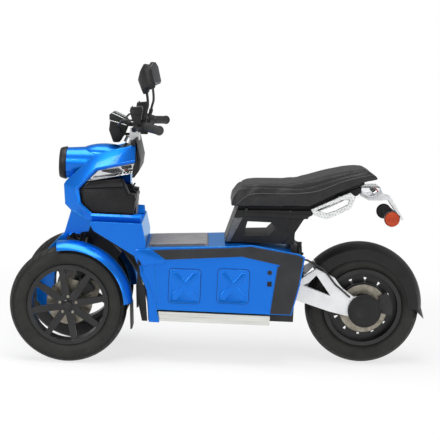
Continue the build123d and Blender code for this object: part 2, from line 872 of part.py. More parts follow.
def guard_section():
    """The mudguard's section, in a plane through its own centre."""
    w = MUDGUARD_HALF
    t = MUDGUARD_T
    r = MUDGUARD_R
    edge = r - 66
    outline = [
        Line((edge, -w), (r - 24, -w)),
        ThreePointArc((r - 24, -w), (r, 0), (r - 24, w)),
        Line((r - 24, w), (edge, w)),
        Line((edge, w), (edge, w - t)),
        Line((edge, w - t), (r - 24, w - t)),
        ThreePointArc((r - 24, w - t), (r - t, 0), (r - 24, t - w)),
        Line((r - 24, t - w), (edge, t - w)),
        Line((edge, t - w), (edge, -w)),
    ]
    return make_face(outline)


def rear_mudguard():
    """The deep black rear mudguard, which ends in a tip behind the wheel."""
    centre = (REAR_AXLE_X + 15, REAR_TYRE_R + 8)
    shell = revolve(guard_section(), axis=Axis.Y, revolution_arc=138)
    shell = Pos(centre[0], 0, centre[1]) * shell.rotate(Axis.Y, -180)
    foot_x = centre[0] - MUDGUARD_R
    flare = (MUDGUARD_TIP[0] - foot_x, MUDGUARD_TIP[1] - centre[1])
    section = Pos(centre[0], 0, centre[1]) * guard_section().rotate(Axis.Z, 180)
    shell += extrude(section, amount=2 * hypot(*flare), dir=(flare[0], 0, flare[1]))
    rise = (MUDGUARD_TIP[0] + 52, MUDGUARD_TIP[1] + 52)
    under = [
        (MUDGUARD_TIP[0] - 60, MUDGUARD_TIP[1] - 60),
        rise,
        (rise[0] + 80, rise[1]),
        (rise[0] + 80, MUDGUARD_TIP[1] - 120),
        (MUDGUARD_TIP[0] - 60, MUDGUARD_TIP[1] - 120),
    ]
    shell -= prism(under, -MUDGUARD_HALF - 5, MUDGUARD_HALF + 5)
    inner = SWINGARM_Y - SWINGARM_T / 2 - 0.3
    wall = MUDGUARD_HALF - MUDGUARD_T
    for y0, y1 in ((wall, inner), (-inner, -wall)):
        shell += box(REAR_AXLE_X + 167, REAR_AXLE_X + 185, y0, y1, 370, 386)
    return shell


def centre_point(centre):
    """A point in X and Z as a place in space."""
    return centre[0], 0, centre[1]


def rear_caliper():
    """The rear brake caliper behind the axle."""
    centre = (REAR_AXLE_X, REAR_TYRE_R)
    disc_y = MOTOR_W / 2 + DISC_STANDOFF + DISC_T / 2
    inner = SWINGARM_Y - SWINGARM_T / 2 - 0.3
    block = prism(sector(76, 118, 140, 190, centre), disc_y - 9, inner - 3)
    block -= Pos(*centre_point(centre)) * disc_of(REAR_DISC_R + 3, disc_y - 4, disc_y + 4)
    return block + prism(sector(36, 90, 150, 178, centre), disc_y + 6, inner)


def rear_hoses():
    """Brake hose and motor lead along the left swingarm side."""
    y = SWINGARM_Y + SWINGARM_T / 2 + 4.3
    return hose([(-285.6, y, 440), (-330, y, 436), (-400, y, 400), (-450, y, 340), (-512, y, 290)], 4, 30)


def rear_shock():
    """The rear spring strut between the swingarm and the frame."""
    strut = rod((-314, 0, 304), (-300, 0, PYLON_BASE_Z - 25), 14)
    return strut - rod((-312, -40, 300), (-312, 40, 300), 14.3) - box(-330, -270, -9, 9, PYLON_BASE_Z - 24.3, 500)


# ---------------------------------------------------------------- handlebar body

def steering_stem():
    """The stem and the double steering arm at its foot."""
    low = steer_point(PITMAN_Z)
    high = steer_point(HEAD_HIGH_Z + 22)
    stem = rod(low, high, STEM_R)
    tip = pitman_tip()
    mirror_tip = Vector(tip.X, -tip.Y, tip.Z)
    for point in (tip, mirror_tip):
        stem += arm_plate(low, point)
        stem += eye_pin(point)
    return stem


def top_yoke():
    """The alloy yoke between the stem and the bar."""
    high = steer_point(HEAD_HIGH_Z + 22)
    yoke = rod(high + UP_AXIS * 0.0, high + UP_AXIS * 24, 24)
    yoke += box(372, 412, -34, 34, 884, 930)
    return yoke - handlebar()


def handlebar():
    """The swept black bar."""
    path = FilletPolyline(
        (GRIP_END[0], GRIP_END_Y, GRIP_END[1]),
        (362, 196, 955),
        (392, 90, 930),
        (392, -90, 930),
        (362, -196, 955),
        (GRIP_END[0], -GRIP_END_Y, GRIP_END[1]),
        radius=40,
    )
    section = Plane(origin=path @ 0, z_dir=path % 0) * Circle(BAR_R)
    return sweep(section, path=path)


def bar_point(share):
    """A point along the left outer run of the bar, from its end inwards."""
    end = Vector(GRIP_END[0], GRIP_END_Y, GRIP_END[1])
    elbow = Vector(362, 196, 955)
    return end + (elbow - end) * share


def grips():
    """The two rubber grips round the bar's ends."""
    start = bar_point(0) - (bar_point(1) - bar_point(0)).normalized() * 4
    grip = rod(start, bar_point(0.68), GRIP_R)
    return both(grip - rod(bar_point(0), bar_point(0.9), BAR_R))


def switchgear():
    """Switch blocks, lever brackets, reservoirs and levers."""
    block = rod(bar_point(0.70), bar_point(0.95), 20) - rod(bar_point(0), bar_point(1.0), BAR_R)
    centre = bar_point(0.86)
    block += box(centre.X + 6, centre.X + 36, centre.Y - 18, centre.Y + 18, centre.Z + 6, centre.Z + 40)
    tip = Vector(centre.X + 8, GRIP_END_Y - 30, centre.Z - 12)
    block += rod((centre.X + 26, centre.Y + 10, centre.Z + 4), tip, 6)
    return both(block - handlebar())


def mirrors():
    """The two mirrors on their stalks."""
    base = bar_point(0.86)
    foot = Vector(base.X + 20, base.Y, base.Z + 40.3)
    stalk = rod(foot, foot + Vector(0, 0, 14), 5)
    stalk += rod(foot + Vector(0, 0, 10), (335, 232, 1070), 5)
    head = [(335, 1201), (302, 1118), (315, 1105), (341, 1068), (368, 1134)]
    stalk += prism(head, 190, 280)
    return both(stalk)


def instrument_cluster():
    """The display box in front of the bar."""
    outline = [(496, 986), (481, 996), (430, 974), (412, 946.5), (420, 940), (495, 961)]
    cluster = prism(outline, -60, 60)
    cluster += box(400, 424, -12, 12, 932, 950)
    return cluster - handlebar() - top_yoke()


def bar_hoses():
    """The cable loops from the bar down to the head."""
    return both(hose([(387.4, 216, 975), (432, 216, 975), (452, 120, 950), (440, 24, 905), (412.4, 24, 905)], 4, 14))


# ---------------------------------------------------------------- seat

def seat_base():
    """The hard base under the cushion, hinged at its front."""
    outline = [(-36, PYLON_TOP_Z + 1), (-40, 640), (-330, 652), (-440, 712), (-545, 760), (-545, 750), (-440, 706), (-345, 639)]
    return prism(outline, -88, 88)


def seat_cushion():
    """The long two-step cushion."""
    outline = [
        (-27, 641),
        (-4, 640),
        (-8, 680),
        (-30, 716),
        (-60, 733),
        (-107, 739),
        (-230, 744),
        (-312, 760),
        (-394, 787),
        (-475, 807),
        (-558, 818),
        (-592, 800),
        (-602, 782),
        (-594, 772),
        (-545, 760.6),
        (-440, 712.6),
        (-330, 652.6),
        (-40, 640.6),
    ]
    return prism(outline, -SEAT_HALF, SEAT_HALF)


# ---------------------------------------------------------------- battery lid

def battery_lid():
    """The floor's lid over the battery, with its mat."""
    lid = [
        (LID_FRONT_X, deck_z(LID_FRONT_X)),
        (LID_REAR_X, deck_z(LID_REAR_X)),
        (LID_REAR_X, deck_z(LID_REAR_X) - DECK_T),
        (LID_FRONT_X, deck_z(LID_FRONT_X) - DECK_T),
    ]
    return prism(lid, -LID_HALF, LID_HALF)


# ---------------------------------------------------------------- nodes

def placed(shape, x, y, z):
    """A shape moved to its place."""
    return Pos(x, y, z) * shape


def main():
    """Write every sub-part."""
    os.makedirs("parts", exist_ok=True)
    half_track = TRACK / 2
    front_tyre = tyre(FRONT_TYRE_R, FRONT_TYRE_W)
    wheel_parts = {"tyre": front_tyre, "rim": front_rim(), "disc": front_disc()}
    for name, shape in wheel_parts.items():
        left = placed(shape, FRONT_AXLE_X, half_track, FRONT_TYRE_R)
        save(left, "left_front_" + name)
        save(left.mirror(Plane.XZ), "right_front_" + name)
    save(placed(tyre(REAR_TYRE_R, REAR_TYRE_W), REAR_AXLE_X, 0, REAR_TYRE_R), "rear_tyre")
    save(placed(rear_rim(), REAR_AXLE_X, 0, REAR_TYRE_R), "rear_rim")
    save(placed(rear_disc(), REAR_AXLE_X, 0, REAR_TYRE_R), "rear_disc")
    for name, make in {"knuckle": knuckle, "fender": fender, "mud_flap": flap, "tie_rod": tie_rod}.items():
        shape = make()
        save(shape, "left_" + name)
        save(shape.mirror(Plane.XZ), "right_" + name)
    save(kingpin_housings() + front_shocks(), "front_suspension")
    save(chassis_frame(), "chassis_frame")
    save(battery_box(), "battery_box")
    save(leg_shield(), "leg_shield")
    save(wheel_arch_liners(), "wheel_arch_liners")
    lid_hole = prism([(LID_FRONT_X + LID_GAP, 400), (LID_FRONT_X + LID_GAP, 560), (LID_REAR_X - LID_GAP, 560), (LID_REAR_X - LID_GAP, 400)], -LID_HALF - LID_GAP, LID_HALF + LID_GAP)
    save(floor_deck() - lid_hole - leg_shield(), "floor_deck")
    save(battery_lid(), "battery_lid")
    save(side_panels(), "side_panels")
    save(side_trims(), "side_trims")
    save(sills(), "sills")
    save(seat_pylon() + tail_frame(), "seat_pylon")
    save(grab_handles(), "grab_handles")
    save(tail_lamp(), "tail_lamp")
    save(plate_bracket(), "plate_bracket")
    save(rear_indicators(), "rear_indicators")
    save(indicator_lenses(), "indicator_lenses")
    save(headlight_nacelle(), "headlight_nacelle")
    save(headlight_bezel(), "headlight_bezel")
    save(headlight_lens(), "headlight_lens")
    save(cheek_fairings(), "cheek_fairings")
    save(side_lamps(), "side_lamps")
    save(storage_boxes(), "storage_boxes")
    save(box_lid(1), "left_box_lid")
    save(box_lid(-1), "right_box_lid")
    save(dash_cowl(), "dash_cowl")
    save(front_apron(), "front_apron")
    save(swingarm(), "swingarm")
    save(axle_covers(), "axle_covers")
    save(rear_mudguard(), "rear_mudguard")
    save(rear_caliper(), "rear_caliper")
    save(rear_hoses(), "rear_hoses")
    save(rear_shock(), "rear_shock")
    save(steering_stem(), "steering_stem")
    save(top_yoke(), "top_yoke")
    save(handlebar(), "handlebar")
    save(grips(), "grips")
    save(switchgear(), "switchgear")
    save(mirrors(), "mirrors")
    save(instrument_cluster(), "instrument_cluster")
    save(bar_hoses(), "bar_hoses")
    save(seat_base(), "seat_base")
    save(seat_cushion(), "seat_cushion")


main()
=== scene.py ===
"""The finish of the three-wheeled electric scooter: its materials, trim and small fittings."""

import math

import bpy
from mathutils import Matrix, Vector


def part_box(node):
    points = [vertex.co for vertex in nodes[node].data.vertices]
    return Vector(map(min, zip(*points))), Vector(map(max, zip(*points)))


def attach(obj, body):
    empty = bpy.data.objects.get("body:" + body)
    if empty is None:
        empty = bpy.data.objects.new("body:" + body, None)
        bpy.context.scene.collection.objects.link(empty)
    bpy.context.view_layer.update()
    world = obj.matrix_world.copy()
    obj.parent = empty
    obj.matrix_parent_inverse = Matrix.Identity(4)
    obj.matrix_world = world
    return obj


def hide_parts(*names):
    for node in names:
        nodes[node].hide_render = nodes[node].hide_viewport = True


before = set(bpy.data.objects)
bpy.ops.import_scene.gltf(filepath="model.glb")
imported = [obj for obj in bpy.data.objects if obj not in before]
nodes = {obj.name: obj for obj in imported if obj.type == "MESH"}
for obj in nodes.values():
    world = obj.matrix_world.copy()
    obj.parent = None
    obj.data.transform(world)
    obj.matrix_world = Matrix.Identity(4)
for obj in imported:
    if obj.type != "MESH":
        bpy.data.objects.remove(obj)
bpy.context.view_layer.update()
scene = bpy.context.scene
scene.view_settings.view_transform = "Standard"

# Design sizes are in millimetres, with X 0 a little behind the middle of the wheelbase.
FRONT_END = 0.854
SHIFT = FRONT_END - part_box("left_front_tyre")[1].x
AHEAD = Vector((1, 0, 0))
LEFTWARD = Vector((0, 1, 0))


def place(x, y, z):
    """A design point in metres."""
    return Vector((x / 1000 - SHIFT, y / 1000, z / 1000))


def side_line(points, y=0):
    """Design points drawn on the side, in X and Z, at one distance from the middle."""
    return [place(x, y, z) for x, z in points]


def profile_of(pairs):
    """A profile of (distance, radius) pairs, from millimetres to metres."""
    return [(along / 1000, radius / 1000) for along, radius in pairs]


def middle(node):
    """The middle of a node's box."""
    low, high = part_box(node)
    return (low + high) / 2


# ---------------------------------------------------------------- modelling helpers


def clear_selection():
    """Leave edit mode with nothing selected."""
    if bpy.context.object and bpy.context.object.mode != "OBJECT":
        bpy.ops.object.mode_set(mode="OBJECT")
    bpy.ops.object.select_all(action="DESELECT")


def only(piece):
    """Select one piece and make it active."""
    clear_selection()
    piece.select_set(True)
    bpy.context.view_layer.objects.active = piece


def into_edit(kind):
    """Go into edit mode, picking vertices, edges or faces."""
    bpy.ops.object.mode_set(mode="EDIT")
    bpy.ops.mesh.select_mode(type=kind)


def out_of_edit():
    """Go back to object mode."""
    bpy.ops.object.mode_set(mode="OBJECT")


def edit_all(piece, kind="VERT"):
    """Go into edit mode with the whole piece selected."""
    only(piece)
    into_edit(kind)
    bpy.ops.mesh.select_all(action="SELECT")


def settle():
    """Apply the active piece's place, turn and size."""
    bpy.ops.object.transform_apply(location=True, rotation=True, scale=True)
    return bpy.context.object


def edit_picked(piece, kind, parts, test):
    """Go into edit mode with the edges or faces selected that pass the test."""
    out_of_edit()
    bpy.context.tool_settings.mesh_select_mode = [kind == mode for mode in ("VERT", "EDGE", "FACE")]
    for group in (piece.data.vertices, piece.data.edges, piece.data.polygons):
        group.foreach_set("select", [False] * len(group))
    for part in parts:
        part.select = bool(test(part))
    into_edit(kind)


def pick_faces(piece, test):
    """Edit the faces whose middle and normal pass the test."""
    edit_picked(piece, "FACE", piece.data.polygons, lambda face: test(face.center, face.normal))


def pick_edges(piece, test):
    """Edit the edges whose two ends pass the test."""
    spots, edges = piece.data.vertices, piece.data.edges
    edit_picked(piece, "EDGE", edges, lambda edge: test(*(spots[end].co for end in edge.vertices)))


def face_out(piece):
    """Merge doubles and turn every face outwards."""
    edit_all(piece)
    bpy.ops.mesh.remove_doubles(threshold=0.00001)
    bpy.ops.mesh.normals_make_consistent(inside=False)
    out_of_edit()


def use(piece, kind, **settings):
    """Put a modifier on a piece and apply it."""
    only(piece)
    modifier = piece.modifiers.new(kind.title(), kind)
    for key, value in settings.items():
        setattr(modifier, key, value)
    bpy.ops.object.modifier_apply(modifier=modifier.name)


def soften(piece, width, segments=2, limit=30):
    """Round the sharp edges."""
    use(
        piece,
        "BEVEL",
        width=width,
        segments=segments,
        limit_method="ANGLE",
        angle_limit=math.radians(limit),
        harden_normals=False,
    )


def fit(piece, name, body, material, smooth=38):
    """Name a finished piece, shade it, paint it and let it ride on its body."""
    only(piece)
    settle()
    bpy.ops.object.shade_smooth_by_angle(angle=math.radians(smooth))
    piece.name = name
    piece.data.name = name
    piece.data.materials.clear()
    piece.data.materials.append(material)
    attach(piece, body)
    return piece


def stand_in(piece, name, body, material, node, smooth=38):
    """Fit a piece that takes a CAD part's place."""
    fit(piece, name, body, material, smooth)
    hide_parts(node)


def across(piece, name, body):
    """The mirror image of a finished piece on the other side."""
    only(piece)
    bpy.ops.object.duplicate()
    twin = bpy.context.object
    twin.data = twin.data.copy()
    twin.parent = None
    twin.matrix_world = Matrix.Identity(4)
    edit_all(twin)
    bpy.ops.transform.resize(value=(1, -1, 1), center_override=(0, 0, 0))
    bpy.ops.mesh.normals_make_consistent(inside=False)
    out_of_edit()
    twin.name = name
    twin.data.name = name
    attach(twin, body)
    return twin


def both_sides(piece, stem, body, material, twin_body=None, smooth=38, stands_for=()):
    """Fit a left-hand piece and its mirror image on the right."""
    fit(piece, "left_" + stem, body, material, smooth)
    twin = across(piece, "right_" + stem, twin_body or body)
    if stands_for:
        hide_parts(stands_for[0])
        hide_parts(stands_for[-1])


def join(pieces):
    """Several loose shapes as one piece."""
    clear_selection()
    for piece in pieces:
        piece.select_set(True)
    bpy.context.view_layer.objects.active = pieces[0]
    bpy.ops.object.join()
    return pieces[0]


def box_piece(low, high, bevel=0.0, segments=2):
    """A block between two corners, with its edges rounded where asked."""
    clear_selection()
    bpy.ops.mesh.primitive_cube_add(size=1, location=(low + high) / 2)
    bpy.context.object.scale = high - low
    piece = settle()
    if bevel:
        soften(piece, bevel, segments)
    return piece


def rod_piece(start, end, radius, sides=24, tip=None):
    """A round bar, or a cone where the tip has its own radius."""
    clear_selection()
    run = end - start
    bpy.ops.mesh.primitive_cone_add(
        vertices=sides,
        radius1=radius,
        radius2=radius if tip is None else tip,
        depth=run.length,
        location=(start + end) / 2,
        rotation=run.to_track_quat("Z", "Y").to_euler(),
    )
    return settle()


def ball_piece(centre, radius, squash=(1, 1, 1), segments=24):
    """A ball, or an egg where it is squashed."""
    clear_selection()
    bpy.ops.mesh.primitive_uv_sphere_add(
        segments=segments, ring_count=segments // 2, radius=radius, location=centre
    )
    bpy.context.object.scale = squash
    return settle()


def chain(points, closed=False):
    """A line of edges, extruded point by point from one corner."""
    clear_selection()
    bpy.ops.mesh.primitive_plane_add(size=0.001, location=points[0])
    piece = settle()
    edit_all(piece)
    bpy.ops.mesh.merge(type="CENTER")
    for before, here in zip(points, points[1:]):
        bpy.ops.mesh.extrude_region_move(TRANSFORM_OT_translate={"value": here - before})
    if closed:
        bpy.ops.mesh.select_all(action="SELECT")
        bpy.ops.mesh.edge_face_add()
    out_of_edit()
    return piece


def plate_piece(points, sweep):
    """A flat outline pushed out along a sweep."""
    piece = chain(points, closed=True)
    edit_all(piece, "FACE")
    bpy.ops.mesh.extrude_region_move(TRANSFORM_OT_translate={"value": sweep})
    out_of_edit()
    face_out(piece)
    return piece


def side_plate(points, y_in, y_out, bevel=0.0, segments=2, limit=30):
    """A plate seen from the side, between two distances from the middle."""
    piece = plate_piece(side_line(points, y_in), Vector((0, (y_out - y_in) / 1000, 0)))
    if bevel:
        soften(piece, bevel, segments, limit)
    return piece


def sunken_plate(piece, rim, depth):
    """Sink the outer face of a plate within a rim."""
    pick_faces(piece, lambda spot, out: out.y > 0.9)
    bpy.ops.mesh.inset(thickness=rim)
    bpy.ops.transform.translate(value=(0, -depth, 0))
    out_of_edit()


def round_corners(piece, way, radius, segments):
    """Round the edges of a plate that run along X, Y or Z, given as 0, 1 or 2."""
    pick_edges(piece, lambda start, end: abs(start[way] - end[way]) > 0.001)
    bpy.ops.mesh.bevel(offset=radius, segments=segments)
    out_of_edit()


def turned_piece(profile, centre, axis, steps=48):
    """A shape of revolution from (distance along the axis, radius) pairs."""
    axis = axis.normalized()
    side = axis.orthogonal().normalized()
    piece = chain([centre + axis * along + side * radius for along, radius in profile])
    edit_all(piece)
    bpy.ops.mesh.spin(steps=steps, angle=2 * math.pi, center=centre, axis=axis)
    out_of_edit()
    face_out(piece)
    return piece


def tube_piece(points, radius, smooth=6):
    """A round tube along a smooth line."""
    clear_selection()
    curve = bpy.data.curves.new("line", "CURVE")
    curve.dimensions = "3D"
    spline = curve.splines.new("NURBS")
    spline.points.add(len(points) - 1)
    for spot, point in zip(spline.points, points):
        spot.co = (*point, 1)
    spline.use_endpoint_u = True
    spline.order_u = 3
    spline.resolution_u = smooth
    curve.bevel_depth = radius
    curve.bevel_resolution = 3
    curve.use_fill_caps = True
    piece = bpy.data.objects.new("line", curve)
    scene.collection.objects.link(piece)
    only(piece)
    bpy.ops.object.convert(target="MESH")
    piece = bpy.context.object
    face_out(piece)
    return piece


def coil_piece(start, end, radius, wire, turns, steps=12):
    """A coil spring between two points."""
    run = end - start
    side = run.orthogonal().normalized()
    other = run.normalized().cross(side)
    spots = []
    for step in range(turns * steps + 1):
        angle = step * math.tau / steps
        reach = side * math.cos(angle) + other * math.sin(angle)
        spots.append(start + run * (step / (turns * steps)) + reach * radius)
    return tube_piece(spots, wire, smooth=2)


def ribbon_shell(lines, wall):
    """A shell skinned between lines with the same number of points, with its wall inside."""
    piece = join([chain(line) for line in lines])
    edit_all(piece, "EDGE")
    bpy.ops.mesh.bridge_edge_loops(type="SINGLE", use_merge=False)
    out_of_edit()
    face_out(piece)
    use(piece, "SOLIDIFY", thickness=wall, offset=-1)
    return piece


# ---------------------------------------------------------------- finishes

BEVEL_RAYS = 4


def add_node(tree, kind, values=(), **settings):
    """A shader node with its settings, and its sockets set or linked."""
    made = tree.nodes.new("ShaderNode" + kind)
    for key, value in settings.items():
        setattr(made, key, value)
    for socket, value in dict(values).items():
        if isinstance(value, bpy.types.NodeSocket):
            tree.links.new(value, made.inputs[socket])
        else:
            made.inputs[socket].default_value = value
    return made


def new_group(name, takes, gives):
    """An empty node group with named sockets."""
    tree = bpy.data.node_groups.new(name, "ShaderNodeTree")
    for label, kind, value in takes:
        socket = tree.interface.new_socket(
            name=label, in_out="INPUT", socket_type="NodeSocket" + kind
        )
        if value is not None:
            socket.default_value = value
    for label, kind in gives:
        tree.interface.new_socket(name=label, in_out="OUTPUT", socket_type="NodeSocket" + kind)
    return tree, tree.nodes.new("NodeGroupInput").outputs, tree.nodes.new("NodeGroupOutput")


def give(tree, end, **results):
    """Link results to a group's outputs."""
    for label, socket in results.items():
        tree.links.new(socket, end.inputs[label])


def maths(tree, operation, first, second=0.0, third=0.0):
    """One sum on values; gives its output."""
    made = add_node(tree, "Math", {0: first, 1: second, 2: third}, operation=operation)
    return made.outputs[0]


def waves(tree, value, count):
    """A value folded up and down between 0 and 0.5, so many times in one."""
    return maths(tree, "PINGPONG", maths(tree, "MULTIPLY", value, count), 0.5)


def ramp(tree, value, low, high):
    """A value as a share from 0 to 1 between two limits."""
    values = {"Value": value, "From Min": low, "From Max": high}
    return add_node(tree, "MapRange", values).outputs["Result"]


def blend(tree, factor, first, second):
    """One colour turning into another."""
    values = {"Factor": factor, 6: first, 7: second}
    return add_node(tree, "Mix", values, data_type="RGBA").outputs[2]


def blend_values(tree, factor, first, second):
    """One value turning into another."""
    return add_node(tree, "Mix", {"Factor": factor, 2: first, 3: second}).outputs[0]


def own_spot(tree):
    """The object's own coordinates."""
    return add_node(tree, "TexCoord").outputs["Object"]


def noise(tree, values):
    """The strength of a noise on the object."""
    return add_node(tree, "TexNoise", values).outputs["Fac"]


def own_axes(tree, spot):
    """X, Y and Z of a spot."""
    return add_node(tree, "SeparateXYZ", {0: spot}).outputs[:3]


def bump(tree, height, depth, normal):
    """A normal pushed by a height."""
    values = {"Height": height, "Distance": depth, "Normal": normal}
    return add_node(tree, "Bump", values).outputs["Normal"]


def rounded_edges(tree, radius):
    """A normal that turns softly over sharp edges."""
    return add_node(tree, "Bevel", {"Radius": radius}, samples=BEVEL_RAYS).outputs[0]


def make_grain():
    """Fine bumps, as moulded plastic, cast metal or leather has."""
    takes = [("Scale", "Float", 900.0), ("Depth", "Float", 0.0001), ("Normal", "Vector", None)]
    takes += [("Cells", "Float", 0.0)]
    tree, begin, end = new_group("grain", takes, [("Normal", "Vector"), ("Height", "Float")])
    spot = own_spot(tree)
    fine = noise(tree, {"Vector": spot, "Scale": begin["Scale"], "Detail": 3.0})
    cells = {"Vector": spot, "Scale": begin["Scale"]}
    cells = add_node(tree, "TexVoronoi", cells, feature="DISTANCE_TO_EDGE").outputs["Distance"]
    height = blend_values(tree, begin["Cells"], fine, ramp(tree, cells, 0.0, 0.25))
    give(tree, end, Normal=bump(tree, height, begin["Depth"], begin["Normal"]), Height=height)
    return tree


def make_mottle():
    """Slow changes of tone and gloss over a surface."""
    takes = [("Scale", "Float", 14.0), ("Dark", "Color", None), ("Light", "Color", None)]
    takes += [("Gloss", "Float", 0.3), ("Spread", "Float", 0.08), ("Stretch", "Vector", (1, 1, 1))]
    tree, begin, end = new_group("mottle", takes, [("Color", "Color"), ("Roughness", "Float")])
    turned = add_node(tree, "Mapping", {"Vector": own_spot(tree), "Scale": begin["Stretch"]})
    slow = noise(tree, {"Vector": turned.outputs[0], "Scale": begin["Scale"], "Detail": 5.0})
    colour = blend(tree, ramp(tree, slow, 0.32, 0.68), begin["Dark"], begin["Light"])
    gloss = maths(tree, "MULTIPLY_ADD", slow, begin["Spread"], begin["Gloss"])
    give(tree, end, Color=colour, Roughness=gloss)
    return tree


def make_edge_wear_and_highlight():
    """A paler line along sharp edges: scuffing from hands and cloths, and on the blue paint a
    painted highlight.
    """
    takes = [("Rounded", "Vector", None), ("Base", "Color", None), ("Wear And Highlight", "Color", None)]
    takes += [("Amount", "Float", 0.6)]
    tree, begin, end = new_group("edge_wear_and_highlight", takes, [("Color", "Color"), ("Mask", "Float")])
    normals = {0: begin["Rounded"], 1: add_node(tree, "NewGeometry").outputs["Normal"]}
    turn = add_node(tree, "VectorMath", normals, operation="DOT_PRODUCT").outputs["Value"]
    edge = ramp(tree, turn, 0.995, 0.90)
    breaks = noise(tree, {"Vector": own_spot(tree), "Scale": 60.0, "Detail": 4.0})
    share = maths(tree, "MULTIPLY", edge, ramp(tree, breaks, 0.3, 0.6))
    mask = maths(tree, "MULTIPLY", share, begin["Amount"])
    give(tree, end, Color=blend(tree, mask, begin["Base"], begin["Wear And Highlight"]), Mask=mask)
    return tree


def root_of_squares(tree, first, second):
    """How long the slope of a right angle is."""
    squares = [maths(tree, "MULTIPLY", side, side) for side in (first, second)]
    return maths(tree, "SQRT", maths(tree, "ADD", *squares))


def make_wheel_place():
    """Where a point lies on a wheel: its radius, its turn and its distance from the middle."""
    gives = [("Radius", "Float"), ("Turn", "Float"), ("Across", "Float")]
    tree, begin, end = new_group("wheel_place", [("Centre", "Vector", None)], gives)
    spots = {0: own_spot(tree), 1: begin["Centre"]}
    offset = add_node(tree, "VectorMath", spots, operation="SUBTRACT").outputs[0]
    x, y, z = own_axes(tree, offset)
    radius = root_of_squares(tree, x, z)
    give(tree, end, Radius=radius, Turn=maths(tree, "ARCTAN2", z, x), Across=y)
    return tree


GRAIN = make_grain()
MOTTLE = make_mottle()
EDGE_WEAR_AND_HIGHLIGHT = make_edge_wear_and_highlight()
WHEEL_PLACE = make_wheel_place()


def place_group(tree, group, values):
    """Put a shared group into a material; gives its outputs."""
    return add_node(tree, "Group", values, node_tree=group).outputs


def opaque(colour, share=1.0):
    """A colour with full alpha, darkened to a share."""
    return (*(part * share for part in colour), 1)


def tone_of(tree, dark, light, gloss, spread=0.1, scale=30.0, stretch=(1, 1, 1)):
    """A mottled colour and its roughness."""
    values = {"Dark": opaque(dark), "Light": opaque(light), "Gloss": gloss, "Spread": spread}
    tone = place_group(tree, MOTTLE, {**values, "Scale": scale, "Stretch": stretch})
    return tone["Color"], tone["Roughness"]


def fine_of(tree, scale, depth, cells=0.0, **normal):
    """A fine grain on a surface, or on a normal."""
    values = {"Scale": scale, "Depth": depth, "Cells": cells, **normal}
    return place_group(tree, GRAIN, values)["Normal"]


def new_material(name):
    """A node material, its tree and its shader."""
    material = bpy.data.materials.new(name)
    material.use_nodes = True
    return material, material.node_tree, material.node_tree.nodes["Principled BSDF"]


def wire(tree, shader, colour, gloss, normal, **constants):
    """Link a shader's colour, roughness and normal, and set plain numbers on its sockets."""
    links = (("Base Color", colour), ("Roughness", gloss), ("Normal", normal))
    for label, socket in links:
        tree.links.new(socket, shader.inputs[label])
    for key, value in constants.items():
        shader.inputs[key.replace("_", " ")].default_value = value


def finish_of(
    name,
    dark,
    light,
    gloss,
    grain,
    spread=0.08,
    metal=0.0,
    patch=14.0,
    cells=0.0,
    rounding=0.0012,
    wear_and_highlight_tone=None,
    wear_and_highlight_amount=0.6,
    stretch=(1, 1, 1),
    **constants,
):
    """The usual finish: mottled tone, soft edges, a paler line on them (scuffing, and on the blue
    paint a painted highlight), and a fine grain.
    """
    material, tree, shader = new_material(name)
    rounded = rounded_edges(tree, rounding)
    colour, rough = tone_of(tree, dark, light, gloss - spread / 2, spread, patch, stretch)
    # A paler line along sharp edges: scuffing on most finishes, and on the blue paint a painted
    # highlight.
    if wear_and_highlight_tone:
        values = {"Rounded": rounded, "Base": colour, "Wear And Highlight": opaque(wear_and_highlight_tone), "Amount": wear_and_highlight_amount}
        colour = place_group(tree, EDGE_WEAR_AND_HIGHLIGHT, values)["Color"]
    fine = fine_of(tree, *grain, cells, Normal=rounded)
    wire(tree, shader, colour, rough, fine, Metallic=metal, **constants)
    return material


def grey(tone, blue=0.0):
    """A grey, with a little more blue where asked."""
    return (tone, tone, tone + blue)


BLUE = finish_of(
    "blue_metallic_paint",
    (0.003, 0.150, 0.68),
    (0.004, 0.165, 0.72),
    0.30,
    (2600.0, 0.000002),
    spread=0.03,
    metal=0.72,
    patch=5,
    rounding=0.0026,
    # painted highlight: a pale cyan line along the paint's sharp edges
    wear_and_highlight_tone=(0.05, 0.48, 1.0),
    wear_and_highlight_amount=0.8,
    Coat_Weight=0.3,
    Coat_Roughness=0.05,
    Specular_Tint=(0.25, 0.85, 1.0, 1),
)
# painted shade: a darker copy of the blue paint for the plates that stand in for the shadowed gaps
# round the pads
GROOVE_SHADE_BLUE = finish_of(
    "painted_groove_shade_blue",
    (0.002, 0.045, 0.26),
    (0.003, 0.055, 0.30),
    0.4,
    (2600.0, 0.000004),
    metal=0.4,
    patch=9,
)
BLACK = finish_of(
    "moulded_black_plastic",
    grey(0.009, 0.0005),
    grey(0.015, 0.0005),
    0.44,
    (1500.0, 0.00012),
    wear_and_highlight_tone=grey(0.07),
    Specular_IOR_Level=0.26,
)
GLOSS_BLACK = finish_of(
    "gloss_black_plastic",
    grey(0.008, 0.001),
    grey(0.012, 0.001),
    0.16,
    (1800.0, 0.00001),
    spread=0.06,
    wear_and_highlight_tone=grey(0.06),
    Specular_IOR_Level=0.35,
)
TRIM = finish_of(
    "satin_black_band",
    (0.013, 0.0135, 0.0155),
    (0.022, 0.023, 0.026),
    0.36,
    (1200.0, 0.00009),
    rounding=0.003,
    wear_and_highlight_tone=grey(0.12, 0.01),
    Specular_IOR_Level=0.4,
)
BLACK_METAL = finish_of(
    "black_enamelled_metal",
    grey(0.012, 0.001),
    grey(0.024, 0.001),
    0.38,
    (700.0, 0.00006),
    wear_and_highlight_tone=(0.14, 0.135, 0.13),
    Specular_IOR_Level=0.35,
)
